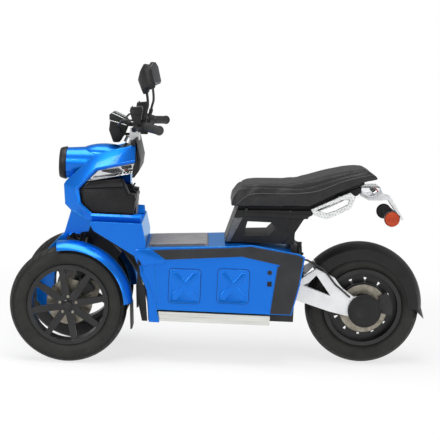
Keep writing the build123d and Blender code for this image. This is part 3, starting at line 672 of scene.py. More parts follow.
RIM_METAL = finish_of(
    "black_cast_rim",
    grey(0.010, 0.001),
    grey(0.020, 0.001),
    0.33,
    (500.0, 0.00008),
    wear_and_highlight_tone=grey(0.10, 0.005),
    rounding=0.002,
    Specular_IOR_Level=0.4,
)
ALLOY = finish_of(
    "cast_silver_alloy",
    (0.70, 0.71, 0.72),
    (0.82, 0.83, 0.84),
    0.34,
    (800.0, 0.00007),
    spread=0.12,
    metal=0.55,
    rounding=0.003,
    wear_and_highlight_tone=grey(0.90),
)
CHROME = finish_of(
    "polished_chrome",
    (0.70, 0.71, 0.72),
    (0.80, 0.80, 0.81),
    0.10,
    (900.0, 0.000006),
    metal=1.0,
    wear_and_highlight_tone=grey(0.95),
)
SILL = finish_of(
    "brushed_sill",
    (0.55, 0.56, 0.52),
    (0.78, 0.78, 0.74),
    0.32,
    (600.0, 0.00003),
    spread=0.25,
    metal=0.7,
    patch=90.0,
    stretch=(0.05, 1, 4),
    wear_and_highlight_tone=(0.92, 0.92, 0.90),
)
STEEL = finish_of(
    "worn_disc_steel",
    (0.21, 0.19, 0.15),
    (0.38, 0.35, 0.29),
    0.34,
    (1400.0, 0.00002),
    spread=0.2,
    metal=0.9,
    patch=60.0,
    wear_and_highlight_tone=(0.6, 0.58, 0.52),
)
HOSE = finish_of("hose_rubber", grey(0.012), (0.022, 0.022, 0.021), 0.5, (1600.0, 0.00006))
FLAP = finish_of(
    "flap_rubber",
    (0.018, 0.018, 0.017),
    (0.032, 0.031, 0.030),
    0.62,
    (900.0, 0.00012),
    wear_and_highlight_tone=(0.08, 0.08, 0.075),
)
PLATE = finish_of(
    "grey_textured_plate",
    (0.075, 0.078, 0.080),
    (0.13, 0.133, 0.135),
    0.42,
    (420.0, 0.0004),
    metal=0.3,
    patch=120.0,
    cells=1.0,
    wear_and_highlight_tone=grey(0.3),
)
VINYL = finish_of(
    "seat_vinyl",
    grey(0.010, 0.0005),
    grey(0.017, 0.0005),
    0.42,
    (650.0, 0.00022),
    spread=0.14,
    patch=22.0,
    cells=0.75,
    rounding=0.004,
    wear_and_highlight_tone=grey(0.05),
    wear_and_highlight_amount=0.3,
    Specular_IOR_Level=0.36,
)
STITCH = finish_of("seat_piping", grey(0.022), grey(0.040), 0.35, (1200.0, 0.0001))
ORANGE = finish_of(
    "orange_lens_plastic",
    (0.36, 0.030, 0.002),
    (0.50, 0.055, 0.004),
    0.14,
    (300.0, 0.0004),
    spread=0.05,
    patch=30.0,
    cells=1.0,
    Specular_IOR_Level=0.4,
    Subsurface_Weight=0.12,
)
RED = finish_of(
    "red_lens_plastic",
    (0.40, 0.008, 0.006),
    (0.62, 0.02, 0.012),
    0.16,
    (500.0, 0.0003),
    patch=40.0,
    cells=1.0,
    Coat_Weight=1.0,
)
MIRROR_GLASS = finish_of(
    "mirror_glass",
    (0.16, 0.17, 0.18),
    (0.20, 0.21, 0.22),
    0.03,
    (50.0, 0.000002),
    spread=0.01,
    metal=1.0,
)


def make_clear():
    """Clear lamp plastic with faint moulding waves."""
    material, tree, shader = new_material("clear_lamp_glass")
    tint = (0.95, 0.96, 0.97)
    colour, gloss = tone_of(tree, opaque(tint, 0.97)[:3], tint, 0.02, 0.02, 14.0)
    waved = fine_of(tree, 60.0, 0.0002)
    wire(tree, shader, colour, gloss, waved, Metallic=0.0, Transmission_Weight=1.0, IOR=1.35)
    return material


def make_tyre(name, centre, tyre_radius, blocks):
    """Tyre rubber with a block tread on the crown, painted shade darkening its grooves, and rings
    on the sidewalls.
    """
    material, tree, shader = new_material(name)
    where = place_group(tree, WHEEL_PLACE, {"Centre": tuple(centre)})
    off = maths(tree, "ABSOLUTE", where["Across"])
    turns = maths(tree, "MULTIPLY", where["Turn"], blocks / math.tau)
    slant = maths(tree, "MULTIPLY_ADD", off, 26.0, turns)
    bars = ramp(tree, maths(tree, "PINGPONG", slant, 0.5), 0.06, 0.12)
    lanes = maths(tree, "PINGPONG", maths(tree, "MULTIPLY_ADD", off, 1000 / 26, 0.5), 0.5)
    lanes = ramp(tree, lanes, 0.06, 0.13)
    crown = ramp(tree, where["Radius"], tyre_radius - 0.030, tyre_radius - 0.022)
    rings = ramp(tree, waves(tree, where["Radius"], 130.0), 0.05, 0.12)
    tread = maths(tree, "MULTIPLY", bars, lanes)
    height = blend_values(tree, crown, maths(tree, "MULTIPLY", rings, 0.18), tread)
    relief = bump(tree, height, 0.0035, rounded_edges(tree, 0.001))
    fine = fine_of(tree, 900.0, 0.00008, Normal=relief)
    colour, gloss = tone_of(
        tree, (0.014, 0.0138, 0.013), (0.026, 0.0255, 0.0235), 0.52, 0.16, 18.0
    )
    # painted shade: the grooves between the tread blocks on the crown turn near black
    dark = blend(tree, height, opaque(grey(0.008)), colour)
    shade = blend(tree, maths(tree, "SUBTRACT", 1.0, crown), dark, colour)
    wire(tree, shader, shade, gloss, fine, Specular_IOR_Level=0.3)
    return material


def make_ribbed(name, dark, light, gloss, direction, pitch, depth):
    """Rubber or plastic with even ribs, spaced by a pitch along a direction, with painted shade in
    the valleys between them.
    """
    material, tree, shader = new_material(name)
    spots = {0: own_spot(tree), 1: direction}
    along = add_node(tree, "VectorMath", spots, operation="DOT_PRODUCT").outputs["Value"]
    height = ramp(tree, waves(tree, along, 1 / pitch), 0.08, 0.25)
    relief = bump(tree, height, depth, rounded_edges(tree, 0.0015))
    colour, rough = tone_of(tree, dark, light, gloss)
    # painted shade: the valleys between the ribs are darkened to under half the dark tone
    shade = blend(tree, height, opaque(dark, 0.45), colour)
    wire(tree, shader, shade, rough, fine_of(tree, 900.0, 0.0001, Normal=relief))
    return material


def make_dotted(name, dark, light, gloss, pitch, metal=0.0, deep=0.0012, hole=0.3, pit_shade=0.25):
    """A plate with rows of small round pits, seen from the side, with painted shade in the pits."""
    material, tree, shader = new_material(name)
    x, _, z = own_axes(tree, own_spot(tree))
    row = maths(tree, "MULTIPLY", z, 1 / pitch)
    shift = maths(tree, "MULTIPLY", maths(tree, "FLOOR", row), 0.5)
    along = maths(tree, "ADD", maths(tree, "MULTIPLY", x, 1 / pitch), shift)
    near = [maths(tree, "SUBTRACT", maths(tree, "FRACT", way), 0.5) for way in (along, row)]
    plate = ramp(tree, root_of_squares(tree, *near), hole - 0.06, hole + 0.06)
    relief = bump(tree, plate, deep, rounded_edges(tree, 0.0015))
    colour, rough = tone_of(tree, dark, light, gloss)
    # painted shade: the pits are darkened to a share of the plate's dark tone
    shade = blend(tree, plate, opaque(dark, pit_shade), colour)
    wire(tree, shader, shade, rough, relief, Metallic=metal, Specular_IOR_Level=0.3)
    return material


def make_light_guide():
    """Milky light-guide plastic that glows faintly."""
    material, tree, shader = new_material("milky_light_guide")
    colour, gloss = tone_of(tree, (0.78, 0.80, 0.82), (0.9, 0.91, 0.92), 0.25, 0.08, 14.0)
    tree.links.new(colour, shader.inputs["Base Color"])
    tree.links.new(colour, shader.inputs["Emission Color"])
    tree.links.new(gloss, shader.inputs["Roughness"])
    shader.inputs["Emission Strength"].default_value = 0.25
    return material


def make_screen():
    """A dark display with rows of faint light segments."""
    material, tree, shader = new_material("display_glass")
    x, y, _ = own_axes(tree, own_spot(tree))
    columns = maths(tree, "GREATER_THAN", waves(tree, y, 90.0), 0.3)
    rows = maths(tree, "GREATER_THAN", waves(tree, x, 120.0), 0.36)
    inside = maths(tree, "LESS_THAN", maths(tree, "ABSOLUTE", y), 0.034)
    lit = maths(tree, "MULTIPLY", maths(tree, "MULTIPLY", columns, rows), inside)
    colour = blend(tree, lit, (0.006, 0.007, 0.009, 1), (0.10, 0.22, 0.26, 1))
    tree.links.new(colour, shader.inputs["Base Color"])
    tree.links.new(fine_of(tree, 200.0, 0.000004), shader.inputs["Normal"])
    shader.inputs["Roughness"].default_value = 0.12
    shader.inputs["Coat Weight"].default_value = 1.0
    return material


CLEAR = make_clear()
LIGHT_GUIDE = make_light_guide()
SCREEN = make_screen()
MAT = make_ribbed(
    "ribbed_grey_mat", (0.23, 0.225, 0.235), (0.32, 0.315, 0.325), 0.55, (0, 1, 0), 0.012, 0.0012
)
GRIP = make_ribbed(
    "ribbed_grip_rubber", grey(0.012), grey(0.022), 0.5, (-0.6, 0.8, 0), 0.006, 0.001
)
GRILLE = make_dotted(
    "dotted_box_panel", grey(0.010, 0.0005), grey(0.017, 0.0005), 0.42, 0.0085
)
HATCH = make_dotted(
    "hatched_alloy",
    (0.68, 0.69, 0.69),
    (0.80, 0.81, 0.81),
    0.32,
    0.012,
    metal=0.45,
    deep=0.0004,
    hole=0.26,
    pit_shade=0.72,
)

# ---------------------------------------------------------------- paint on the CAD parts

FRONT_WHEEL = middle("left_front_tyre")
TYRES = {
    "left_front_tyre": (FRONT_WHEEL, 0.234, 44),
    "right_front_tyre": (middle("right_front_tyre"), 0.234, 44),
    "rear_tyre": (middle("rear_tyre"), 0.236, 40),
}
PAINT = {
    BLUE: "headlight_nacelle cheek_fairings front_apron leg_shield floor_deck side_panels "
    "left_fender right_fender",
    BLACK: "battery_box headlight_bezel dash_cowl storage_boxes wheel_arch_liners "
    "seat_pylon rear_indicators axle_covers rear_mudguard switchgear instrument_cluster "
    "seat_base left_box_lid right_box_lid",
    GLOSS_BLACK: "mirrors",
    TRIM: "side_trims",
    BLACK_METAL: "chassis_frame front_suspension rear_caliper rear_shock steering_stem "
    "handlebar left_knuckle right_knuckle left_tie_rod right_tie_rod",
    RIM_METAL: "left_front_rim right_front_rim rear_rim",
    ALLOY: "swingarm top_yoke plate_bracket",
    HATCH: "grab_handles",
    SILL: "sills",
    STEEL: "left_front_disc right_front_disc rear_disc",
    HOSE: "rear_hoses bar_hoses",
    FLAP: "left_mud_flap right_mud_flap",
    GRIP: "grips",
    CLEAR: "headlight_lens side_lamps tail_lamp",
    ORANGE: "indicator_lenses",
    VINYL: "seat_cushion",
    MAT: "battery_lid",
}


def paint(node, material):
    """Give a CAD part its finish."""
    part = nodes[node]
    part.data.materials.clear()
    part.data.materials.append(material)


for material, names in PAINT.items():
    for name in names.split():
        paint(name, material)
for name, (centre, size, blocks) in TYRES.items():
    paint(name, make_tyre(name + "_rubber", centre, size, blocks))


# ---------------------------------------------------------------- the seat

SEAT_CHANNEL = (
    (-49, 722), (-135, 728), (-287, 728), (-338, 742), (-412, 769), (-487, 793),
    (-545, 808),
)
SEAT_PIPING = (
    (-30, 652), (-60, 686), (-100, 702), (-186, 707), (-287, 709), (-363, 722),
    (-436, 759), (-510, 787), (-575, 800),
)
PAD_SHRINK = 0.0062
PAD_VOXEL = 0.006
PAD_REACH = 0.006
PAD_PRESSURE = 4
CLOTH_STEPS = 20
CHANNEL_WIDTH = 0.008
CHANNEL_DEPTH = 0.0032
CHANNEL_FROM = 0.06


def line_gap(spot, line):
    """How far a point is from a line drawn on the side, in X and Z."""
    best = 1.0
    for start, end in zip(line, line[1:]):
        run = end - start
        share = max(0.0, min(1.0, (spot - start).dot(run) / run.length_squared))
        best = min(best, (start + run * share - spot).length)
    return best


def make_seat_pad():
    """The padded seat, blown up as cloth over its base, with a sewn channel on each side."""
    pad = bpy.data.objects.new("seat_pad", nodes["seat_cushion"].data.copy())
    scene.collection.objects.link(pad)
    face_out(pad)
    use(pad, "REMESH", mode="VOXEL", voxel_size=PAD_VOXEL)
    edit_all(pad)
    bpy.ops.transform.shrink_fatten(value=-PAD_SHRINK)
    out_of_edit()
    puff_up(pad)
    use(pad, "SMOOTH", factor=0.5, iterations=5)
    use(pad, "SUBSURF", levels=1, render_levels=1)
    channel = [spot.xz for spot in side_line(SEAT_CHANNEL)]
    for spot in pad.data.vertices:
        gap = line_gap(spot.co.xz, channel) if abs(spot.co.y) > CHANNEL_FROM else CHANNEL_WIDTH
        if gap < CHANNEL_WIDTH:
            spot.co -= spot.normal * CHANNEL_DEPTH * (1 - gap / CHANNEL_WIDTH) ** 2
    stand_in(pad, "seat_pad", "seat", VINYL, "seat_cushion", smooth=60)
    return pad


def puff_up(pad):
    """Swell the pad as cloth under a little pressure, and cap how far it moves."""
    before = [spot.co.copy() for spot in pad.data.vertices]
    held = pad.vertex_groups.new(name="held")
    held.add([spot.index for spot in pad.data.vertices if spot.normal.z < -0.7], 1.0, "REPLACE")
    only(pad)
    modifier = pad.modifiers.new("Cloth", "CLOTH")
    cloth = modifier.settings
    cloth.use_pressure = True
    cloth.uniform_pressure_force = PAD_PRESSURE
    cloth.effector_weights.gravity = 0
    cloth.quality = 5
    cloth.tension_stiffness = 12
    cloth.compression_stiffness = 12
    cloth.bending_stiffness = 2
    cloth.vertex_group_mass = "held"
    for step in range(CLOTH_STEPS):
        scene.frame_set(step + 1)
    bpy.ops.object.modifier_apply(modifier=modifier.name)
    scene.frame_set(1)
    for spot, start in zip(pad.data.vertices, before):
        move = spot.co - start
        if move.length > PAD_REACH:
            spot.co = start + move * (PAD_REACH / move.length)
    pad.vertex_groups.clear()


def on_pad(pad, points, y, lift):
    """Points of a side line, laid on the pad's skin."""
    found = []
    for start in side_line(points, y):
        _, spot, normal, _ = pad.closest_point_on_mesh(start)
        found.append(spot + normal * lift)
    return found


seat_pad = make_seat_pad()
for side, sign in (("left", 1), ("right", -1)):
    welt = tube_piece(on_pad(seat_pad, SEAT_PIPING, 150 * sign, 0.0004), 0.0024)
    fit(welt, side + "_seat_piping", "seat", STITCH)


# ---------------------------------------------------------------- lamps

LAMP_CENTRE = place(664.4, 0, 777)
LAMP_GLASS = (
    (0.5, 55.3), (7, 55.3), (12, 46), (16.5, 32), (19.4, 17), (20.4, 0.01), (18.4, 0.01),
    (17.4, 16), (14.6, 31), (10, 44.6), (6, 53), (0.5, 53), (0.5, 55.3),
)
LAMP_RIM = ((0, 56.5), (27, 57), (27.5, 59), (22, 62.5), (5, 67), (0, 66), (0, 56.5))
LAMP_DISH = (
    (0.3, 0.01), (0.3, 22), (1.0, 24), (3.0, 30), (4.5, 38), (5.0, 46), (5.2, 52.4),
    (0.3, 52.4), (0.2, 0.01),
)
PROJECTOR = ((0.5, 22), (9, 21), (10, 19), (8, 17.5), (1, 17))


def make_headlight():
    """A domed glass over a dished reflector with a projector and a light ring."""

    def turned(profile, steps):
        return turned_piece(profile_of(profile), LAMP_CENTRE, AHEAD, steps)

    glass = turned(LAMP_GLASS, 64)
    stand_in(glass, "headlight_glass", "chassis", CLEAR, "headlight_lens", 60)
    rim = turned(LAMP_RIM, 72)
    stand_in(rim, "headlight_rim", "chassis", BLACK, "headlight_bezel", 30)
    fit(turned(LAMP_DISH, 64), "headlight_reflector", "chassis", CHROME)
    fit(turned(PROJECTOR, 48), "headlight_projector", "chassis", GLOSS_BLACK)
    bulb = ball_piece(LAMP_CENTRE + AHEAD * 0.004, 0.0165, (0.7, 1, 1), 32)
    fit(bulb, "headlight_bulb_lens", "chassis", CLEAR, smooth=60)
    clear_selection()
    bpy.ops.mesh.primitive_torus_add(
        major_radius=0.0415,
        minor_radius=0.0026,
        major_segments=64,
        minor_segments=10,
        location=LAMP_CENTRE + AHEAD * 0.0066,
        rotation=(0, math.pi / 2, 0),
    )
    fit(bpy.context.object, "headlight_ring", "chassis", LIGHT_GUIDE)


LAMP_MOUTH = ((521, 769), (371, 803.6), (385, 760.8), (566, 723))
LAMP_FINS = (
    (((512, 762), (446, 776), (428, 765), (470, 757)), 150),
    (((545, 736), (470, 752), (430, 760), (440, 752)), 146),
    (((436, 783), (398, 793), (394, 781), (428, 774)), 148),
    (((424, 768), (392, 775), (396, 764), (426, 758)), 148),
)
LINER_Y = 121


def make_side_lamp():
    """The left side lamp: clear cover, bright liner, dark fins and a small bulb."""
    cover = side_plate(LAMP_MOUTH, 155.4, 157.6, 0.0008)
    stand_in(cover, "left_side_lamp_cover", "chassis", CLEAR, "side_lamps")
    parts = [side_plate(LAMP_MOUTH, LINER_Y, LINER_Y + 3, 0.001)]
    for first, last, thick in ((0, 1, -2), (2, 3, 2)):
        edge = (LAMP_MOUTH[first], LAMP_MOUTH[last])
        wall = (*edge, *((x, z + thick) for x, z in edge[::-1]))
        parts.append(side_plate(wall, LINER_Y, 155))
    liner = join(parts)
    fit(liner, "left_side_lamp_liner", "chassis", CHROME)
    fins = join([side_plate(points, LINER_Y + 3, y, 0.002) for points, y in LAMP_FINS])
    fit(fins, "left_side_lamp_fins", "chassis", GLOSS_BLACK)
    bulb = rod_piece(place(416, LINER_Y + 3, 776), place(416, 142, 776), 0.007)
    soften(bulb, 0.003, 3)
    fit(bulb, "left_side_lamp_bulb", "chassis", ORANGE)
    for kind, piece in (("cover", cover), ("liner", liner), ("fins", fins), ("bulb", bulb)):
        across(piece, "right_side_lamp_" + kind, "chassis")


TAIL_SHELL = (
    (-534.8, 712.5), (-534.8, 737.4), (-613.4, 741.4), (-620.3, 720), (-599.8, 700.7),
    (-570.2, 694.7),
)
TAIL_TRAY = ((-539, 715), (-572, 698.5), (-597, 704), (-593, 708), (-573, 703), (-541, 719))


def make_tail_lamp():
    """A clear shell over a bright tray with three red lights on each side."""
    shell = side_plate(TAIL_SHELL, -69.5, 69.5, 0.003)
    use(shell, "SOLIDIFY", thickness=0.0016, offset=-1)
    stand_in(shell, "tail_lamp_shell", "chassis", CLEAR, "tail_lamp")
    fit(side_plate(TAIL_TRAY, -64, 64, 0.001), "tail_lamp_tray", "chassis", CHROME)
    cups, lights = [], []
    for y in (-54, -34, -14, 14, 34, 54):
        start = place(-588, y, 714)
        cups.append(rod_piece(start, start + Vector((-0.012, 0, 0.009)), 0.0065, 20, 0.009))
        lights.append(ball_piece(start + Vector((-0.013, 0, 0.010)), 0.0072, (0.8, 1, 1), 16))
    fit(join(cups), "tail_lamp_cups", "chassis", CHROME)
    fit(join(lights), "tail_lamp_lights", "chassis", RED, smooth=60)


def make_indicator_rims():
    """A black rim round each orange lens."""
    low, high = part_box("indicator_lenses")
    centre = Vector(((low.x + high.x) / 2, high.y - 0.019, (low.z + high.z) / 2))
    profile = ((0.5, 28.4), (6, 28.4), (9, 29.2), (9, 31.5), (0.5, 31.5), (0.5, 28.4))
    rim = turned_piece(profile_of(profile), centre, LEFTWARD)
    fit(rim, "left_indicator_rim", "chassis", GLOSS_BLACK)
    across(rim, "right_indicator_rim", "chassis")


make_headlight()
make_side_lamp()
make_tail_lamp()
make_indicator_rims()


# ---------------------------------------------------------------- body pieces

CHEEK_EDGE = (
    (379, 876), (540, 827), (652, 719), (661, 704), (654, 624), (629, 600), (560, 566.3),
    (345, 566.3),
)
CHEEK_CREST = (
    (379, 818), (535, 778), (610, 695), (610.5, 692), (599, 631), (597, 629), (545.5, 585),
    (349.5, 585),
)
CHEEK_HOLE = (
    (379, 808), (530, 768), (600, 691.5), (600, 690), (589.5, 635), (588, 633), (542, 593),
    (350, 593),
)
CHEEK_DEPTHS = (146, 140, 131, 130, 130, 131, 158, 160)
NOSE_FASCIA = (
    (648, 710), (656, 702), (649.5, 626), (626, 604), (560, 566.3), (540, 566.3),
    (622, 610), (644, 630), (650, 700), (641, 710),
)


def make_cheeks():
    """The C-shaped fairing: broad facets falling away from a crest round the box."""
    rim = [place(x, y, z) for (x, z), y in zip(CHEEK_EDGE, CHEEK_DEPTHS)]
    crest, mouth = side_line(CHEEK_CREST, 171.5), side_line(CHEEK_HOLE, 165)
    lines = [side_line(CHEEK_EDGE, 112), rim, crest, mouth, side_line(CHEEK_HOLE, 126)]
    cheek = ribbon_shell(lines, 0.003)
    soften(cheek, 0.0012, 2, 20)
    stands_for = ("cheek_fairings",)
    both_sides(
        cheek, "cheek_fairing", "chassis", BLUE, smooth=20, stands_for=stands_for
    )
    fit(side_plate(NOSE_FASCIA, -118, 118, 0.002, 2, 50), "nose_fascia", "chassis", BLUE)
    hump = ball_piece(place(504, 0, 820), 0.112, (1, 0.56, 0.385), 40)
    fit(hump, "nacelle_hump", "chassis", BLUE, smooth=60)


BOX_RIM = (
    (592, 676), (590, 700), (566, 722), (434, 738), (404, 672), (381, 668),
    (379, 593.3), (540, 593.3), (585, 634),
)
BOX_PANEL = (
    (580, 676), (578, 690), (418, 702), (405, 671), (382, 667), (381, 597), (539, 597),
    (579, 636),
)
BOX_ROLL = ((588, 694), (566, 720), (434, 737), (420, 706), (580, 692))
BOX_LID = (
    (428, 736), (399, 677), (374, 673), (374.5, 620), (378.6, 602), (380, 600),
    (380.5, 667.5), (403, 671.5), (433, 734.5),
)


def make_boxes():
    """The storage boxes: an open shell, a dotted side panel, a rounded roll and a stepped lid."""
    shell = side_plate(BOX_RIM, 84, 150)
    pick_faces(shell, lambda spot, out: out.x < -0.3)
    bpy.ops.mesh.delete(type="FACE")
    out_of_edit()
    use(shell, "SOLIDIFY", thickness=0.003, offset=-1)
    soften(shell, 0.001)
    both_sides(shell, "box_shell", "chassis", BLACK, stands_for=("storage_boxes",))
    panel = side_plate(BOX_PANEL, 149.6, 153, 0.001)
    both_sides(panel, "box_panel", "chassis", GRILLE)
    roll = side_plate(BOX_ROLL, 147, 160, 0.005, 4, 40)
    both_sides(roll, "box_roll", "chassis", GLOSS_BLACK, smooth=60)
    lid = side_plate(BOX_LID, 88, 148, 0.0012, 2, 40)
    latch = box_piece(place(370.5, 108, 648), place(378, 128, 660), 0.0015)
    both_sides(
        join([lid, latch]),
        "stepped_box_lid",
        "left_box_lid",
        BLACK,
        twin_body="right_box_lid",
        stands_for=("left_box_lid", "right_box_lid"),
    )


SHIELD = (
    (398, 886), (379, 901), (357, 817), (361, 773), (380, 744.3), (388, 744.3),
    (386, 790), (376.5, 808), (376.5, 874), (398, 871.4),
)
HEAD_LINING = (
    (385, 876), (398, 871), (539, 819), (556, 799), (552, 795), (534, 813), (398, 861),
    (385, 866),
)
BAG_HOOK = ((376, 656), (377, 668), (386, 672), (393, 682), (391, 696), (384, 706))


def make_cowl():
    """The slim black shield that closes the head towards the rider, and its bag hook."""
    cover = side_plate(SHIELD, -164, 164, 0.0035, 3, 25)
    wall = box_piece(place(372, -82, 567), place(379, 82, 668))
    piece = join([cover, wall, side_plate(HEAD_LINING, -117, 117)])
    stand_in(piece, "rider_shield", "chassis", BLACK, "dash_cowl")
    fit(tube_piece(side_line(BAG_HOOK), 0.0035), "bag_hook", "chassis", BLACK_METAL)


PAD_WIDE, PAD_HIGH = 124, 137
ARM_X, ARM_Z, ARM_TIP, WAIST = 49, 56, 19, 17
QUARTERS = (
    ((1, 1), (0, WAIST)),
    ((-1, 1), (-WAIST, 0)),
    ((-1, -1), (0, -WAIST)),
    ((1, -1), (WAIST, 0)),
)


def oblong(x, z, wide, high):
    """The corners of an upright oblong from its low rear one."""
    return ((x, z), (x + wide, z), (x + wide, z + high), (x, z + high))


def cross_outline(mid_x, mid_z):
    """A raised cross with blunt arms into the corners and a waist between them."""
    corners = []
    for (turn_x, turn_z), dip in QUARTERS:
        tips = [(ARM_X, ARM_Z - ARM_TIP), (ARM_X, ARM_Z), (ARM_X - ARM_TIP, ARM_Z)]
        tips = tips if turn_x == turn_z else tips[::-1]
        corners += [(mid_x + turn_x * a, mid_z + turn_z * b) for a, b in tips]
        corners.append((mid_x + dip[0], mid_z + dip[1]))
    return corners


def make_panel_pads():
    """Two pressed pads with a raised cross on each side panel, ringed by darker blue plates as
    painted shade in the gaps round them.
    """
    shapes, groove_shades = [], []
    for x, z in ((99, 254), (-95, 262)):
        # painted shade: a flat dark blue plate a little larger than the pad, standing in for the
        # shadowed gap round it
        groove_shade = side_plate(oblong(x - 3, z - 3, PAD_WIDE + 6, PAD_HIGH + 6), 189, 190.5)
        round_corners(groove_shade, 1, 0.016, 5)
        groove_shades.append(groove_shade)
        pad = side_plate(oblong(x, z, PAD_WIDE, PAD_HIGH), 189.6, 195)
        round_corners(pad, 1, 0.013, 5)
        sunken_plate(pad, 0.007, 0.0036)
        soften(pad, 0.0008)
        cross = cross_outline(x + PAD_WIDE / 2, z + PAD_HIGH / 2)
        shapes += [pad, side_plate(cross, 190, 194.8, 0.0022, 3, 40)]
    both_sides(join(shapes), "panel_pads", "chassis", BLUE)
    both_sides(join(groove_shades), "pad_groove_shade", "chassis", GROOVE_SHADE_BLUE)


BAND_FIN = ((362, 462), (340, 466), (297, 466), (242, 428), (246, 412), (330, 400), (358, 432))
PILLAR_BAND = (
    (346, 398), (337, 361), (309, 300), (300, 222), (296, 173), (276, 175), (278, 222),
    (285, 272), (301, 330), (323, 358), (330, 398),
)


def make_fin():
    """The blue wedge that runs from the shield onto the black band."""
    fin = side_plate(BAND_FIN, 190, 197.5, 0.003)
    both_sides(fin, "band_fin", "chassis", BLUE)
    strip = side_plate(PILLAR_BAND, 190, 193, 0.0015)
    both_sides(strip, "pillar_band", "chassis", BLUE)


make_cheeks()
make_boxes()
make_cowl()
make_panel_pads()
make_fin()


# ---------------------------------------------------------------- handlebar pieces

BAR_END = Vector((280, 340, 949))
BAR_ELBOW = Vector((362, 196, 955))
RESERVOIR = ((2, 30), (34, 18), (46, 58), (42, 70), (-2, 74), (-5, 62))
RESERVOIR_FOOT = ((-4, 6), (28, -6), (34, 12), (12, 34), (-6, 24))
RESERVOIR_CAP = ((-4.5, 66), (44.5, 62), (43, 72), (-2, 76))
KEYS = ((0.73, -17, 8, 3.6), (0.77, -18, 2, 4.2), (0.81, -17, 8, 3.2))
GRIP_END = (
    (-4, 12), (-3, 18.5), (3, 18.8), (6, 16), (7.5, 10), (7.5, 0.1),
)
GRIP_COLLAR = ((0, 16), (0, 20.5), (4, 20.5), (4, 16))
STALK_FOOT = place(342, 226, 990)


def on_bar(share, out=0.0, up=0.0):
    """A point on the bar's straight left run, from its end inwards."""
    return place(*(BAR_END + (BAR_ELBOW - BAR_END) * share + Vector((out, 0, up))))


def bar_plate(start, points, y, wide, bevel):
    """A plate drawn on the side from a start, with its inner face and width in metres."""
    outline = [start + Vector((x / 1000, y, z / 1000)) for x, z in points]
    piece = plate_piece(outline, Vector((0, wide, 0)))
    soften(piece, bevel)
    return piece


def make_switch_blocks():
    """Switch housing, brake reservoir, its cap, and buttons, on each end of the bar."""
    block = rod_piece(on_bar(0.70), on_bar(0.84), 0.019)
    soften(block, 0.003, 3)
    clamp = rod_piece(on_bar(0.89), on_bar(1.0), 0.0165)
    soften(clamp, 0.002)
    low, high = on_bar(0.75, -14, -27), on_bar(0.75, 16, -8) + LEFTWARD * 0.026
    lower = box_piece(low, high, 0.004, 3)
    head = on_bar(0.94)
    tank = bar_plate(head, RESERVOIR, -0.014, 0.038, 0.003)
    foot = bar_plate(head, RESERVOIR_FOOT, -0.009, 0.024, 0.002)
    boss = rod_piece(on_bar(0.86), STALK_FOOT, 0.008)
    housing = join([block, clamp, lower, tank, foot, boss])
    both_sides(housing, "switch_block", "handlebar", BLACK)
    cap = [bar_plate(head, RESERVOIR_CAP, -0.015, 0.040, 0.0015)]
    for x, y in ((0.006, -0.008), (0.036, 0.018)):
        cap.append(
            rod_piece(head + Vector((x, y, 0.072)), head + Vector((x, y, 0.0768)), 0.0028, 12)
        )
    both_sides(join(cap), "reservoir_cap", "handlebar", GLOSS_BLACK)
    keys = []
    for share, out, up, size in KEYS:
        spot, half = on_bar(share, out, up), Vector((0.0035, size / 1000, 0.004))
        keys.append(box_piece(spot - half, spot + half, 0.0012))
    both_sides(join(keys), "switch_keys", "handlebar", PLATE)
    run = (BAR_END - BAR_ELBOW).normalized()
    end = turned_piece(profile_of(GRIP_END), on_bar(0) - run * 0.0025, run, 32)
    both_sides(end, "grip_end", "handlebar", HOSE)
    collar = turned_piece(profile_of(GRIP_COLLAR), on_bar(0.66), -run, 32)
    both_sides(collar, "grip_collar", "handlebar", HOSE)


MIRROR_EDGE = (
    (-48, -4), (-26, 38), (-4, 60), (18, 58), (33, 40), (48, -22), (42, -34), (10, -42),
    (-4, -58), (-18, -60), (-32, -32),
)
MIRROR_YAW = math.radians(37)
MIRROR_CENTRE = place(339, 262, 1139)
MIRROR_STALK = (
    (342, 226, 990), (339, 228, 1012), (332, 231, 1034), (334, 236, 1062), (339, 243, 1090),
    (338, 248, 1108),
)


def make_mirrors():
    """Faceted mirror shells on bent stalks, with silvered glass towards the rider."""
    back = Vector((-math.cos(MIRROR_YAW), -math.sin(MIRROR_YAW), 0.12)).normalized()
    outward = Vector((-math.sin(MIRROR_YAW), math.cos(MIRROR_YAW), 0))
    up = outward.cross(back)
    up = up if up.z > 0 else -up

    def ring_of(share, along):
        middle_spot = MIRROR_CENTRE + back * along
        return [
            middle_spot + outward * (a * share / 1000) + up * (b * share * 0.98 / 1000)
            for a, b in MIRROR_EDGE
        ]

    shell = plate_piece(ring_of(1.0, 0.004), -back * 0.012)
    pick_faces(shell, lambda spot, out: out.dot(back) < -0.9)
    for step, depth, share in ((0.011, 0.019, 0.72), (0.004, 0.023, 0.48)):
        bpy.ops.mesh.extrude_region_move(TRANSFORM_OT_translate={"value": -back * step})
        bpy.ops.transform.resize(value=(share,) * 3, center_override=MIRROR_CENTRE - back * depth)
    out_of_edit()
    soften(shell, 0.0022, 3, 18)
    stalk = tube_piece([place(*spot) for spot in MIRROR_STALK], 0.0052)
    nut = rod_piece(place(342, 226, 988), place(341, 227, 1000), 0.0085, 6)
    cup = ball_piece(place(338, 247, 1100), 0.011, (1, 1, 1.5), 20)
    both_sides(
        join([shell, stalk, nut, cup]),
        "mirror",
        "handlebar",
        BLACK,
        smooth=30,
        stands_for=("mirrors",),
    )
    glass = plate_piece(ring_of(0.92, 0.0042), back * 0.0012)
    soften(glass, 0.0005)
    both_sides(glass, "mirror_glass", "handlebar", MIRROR_GLASS)


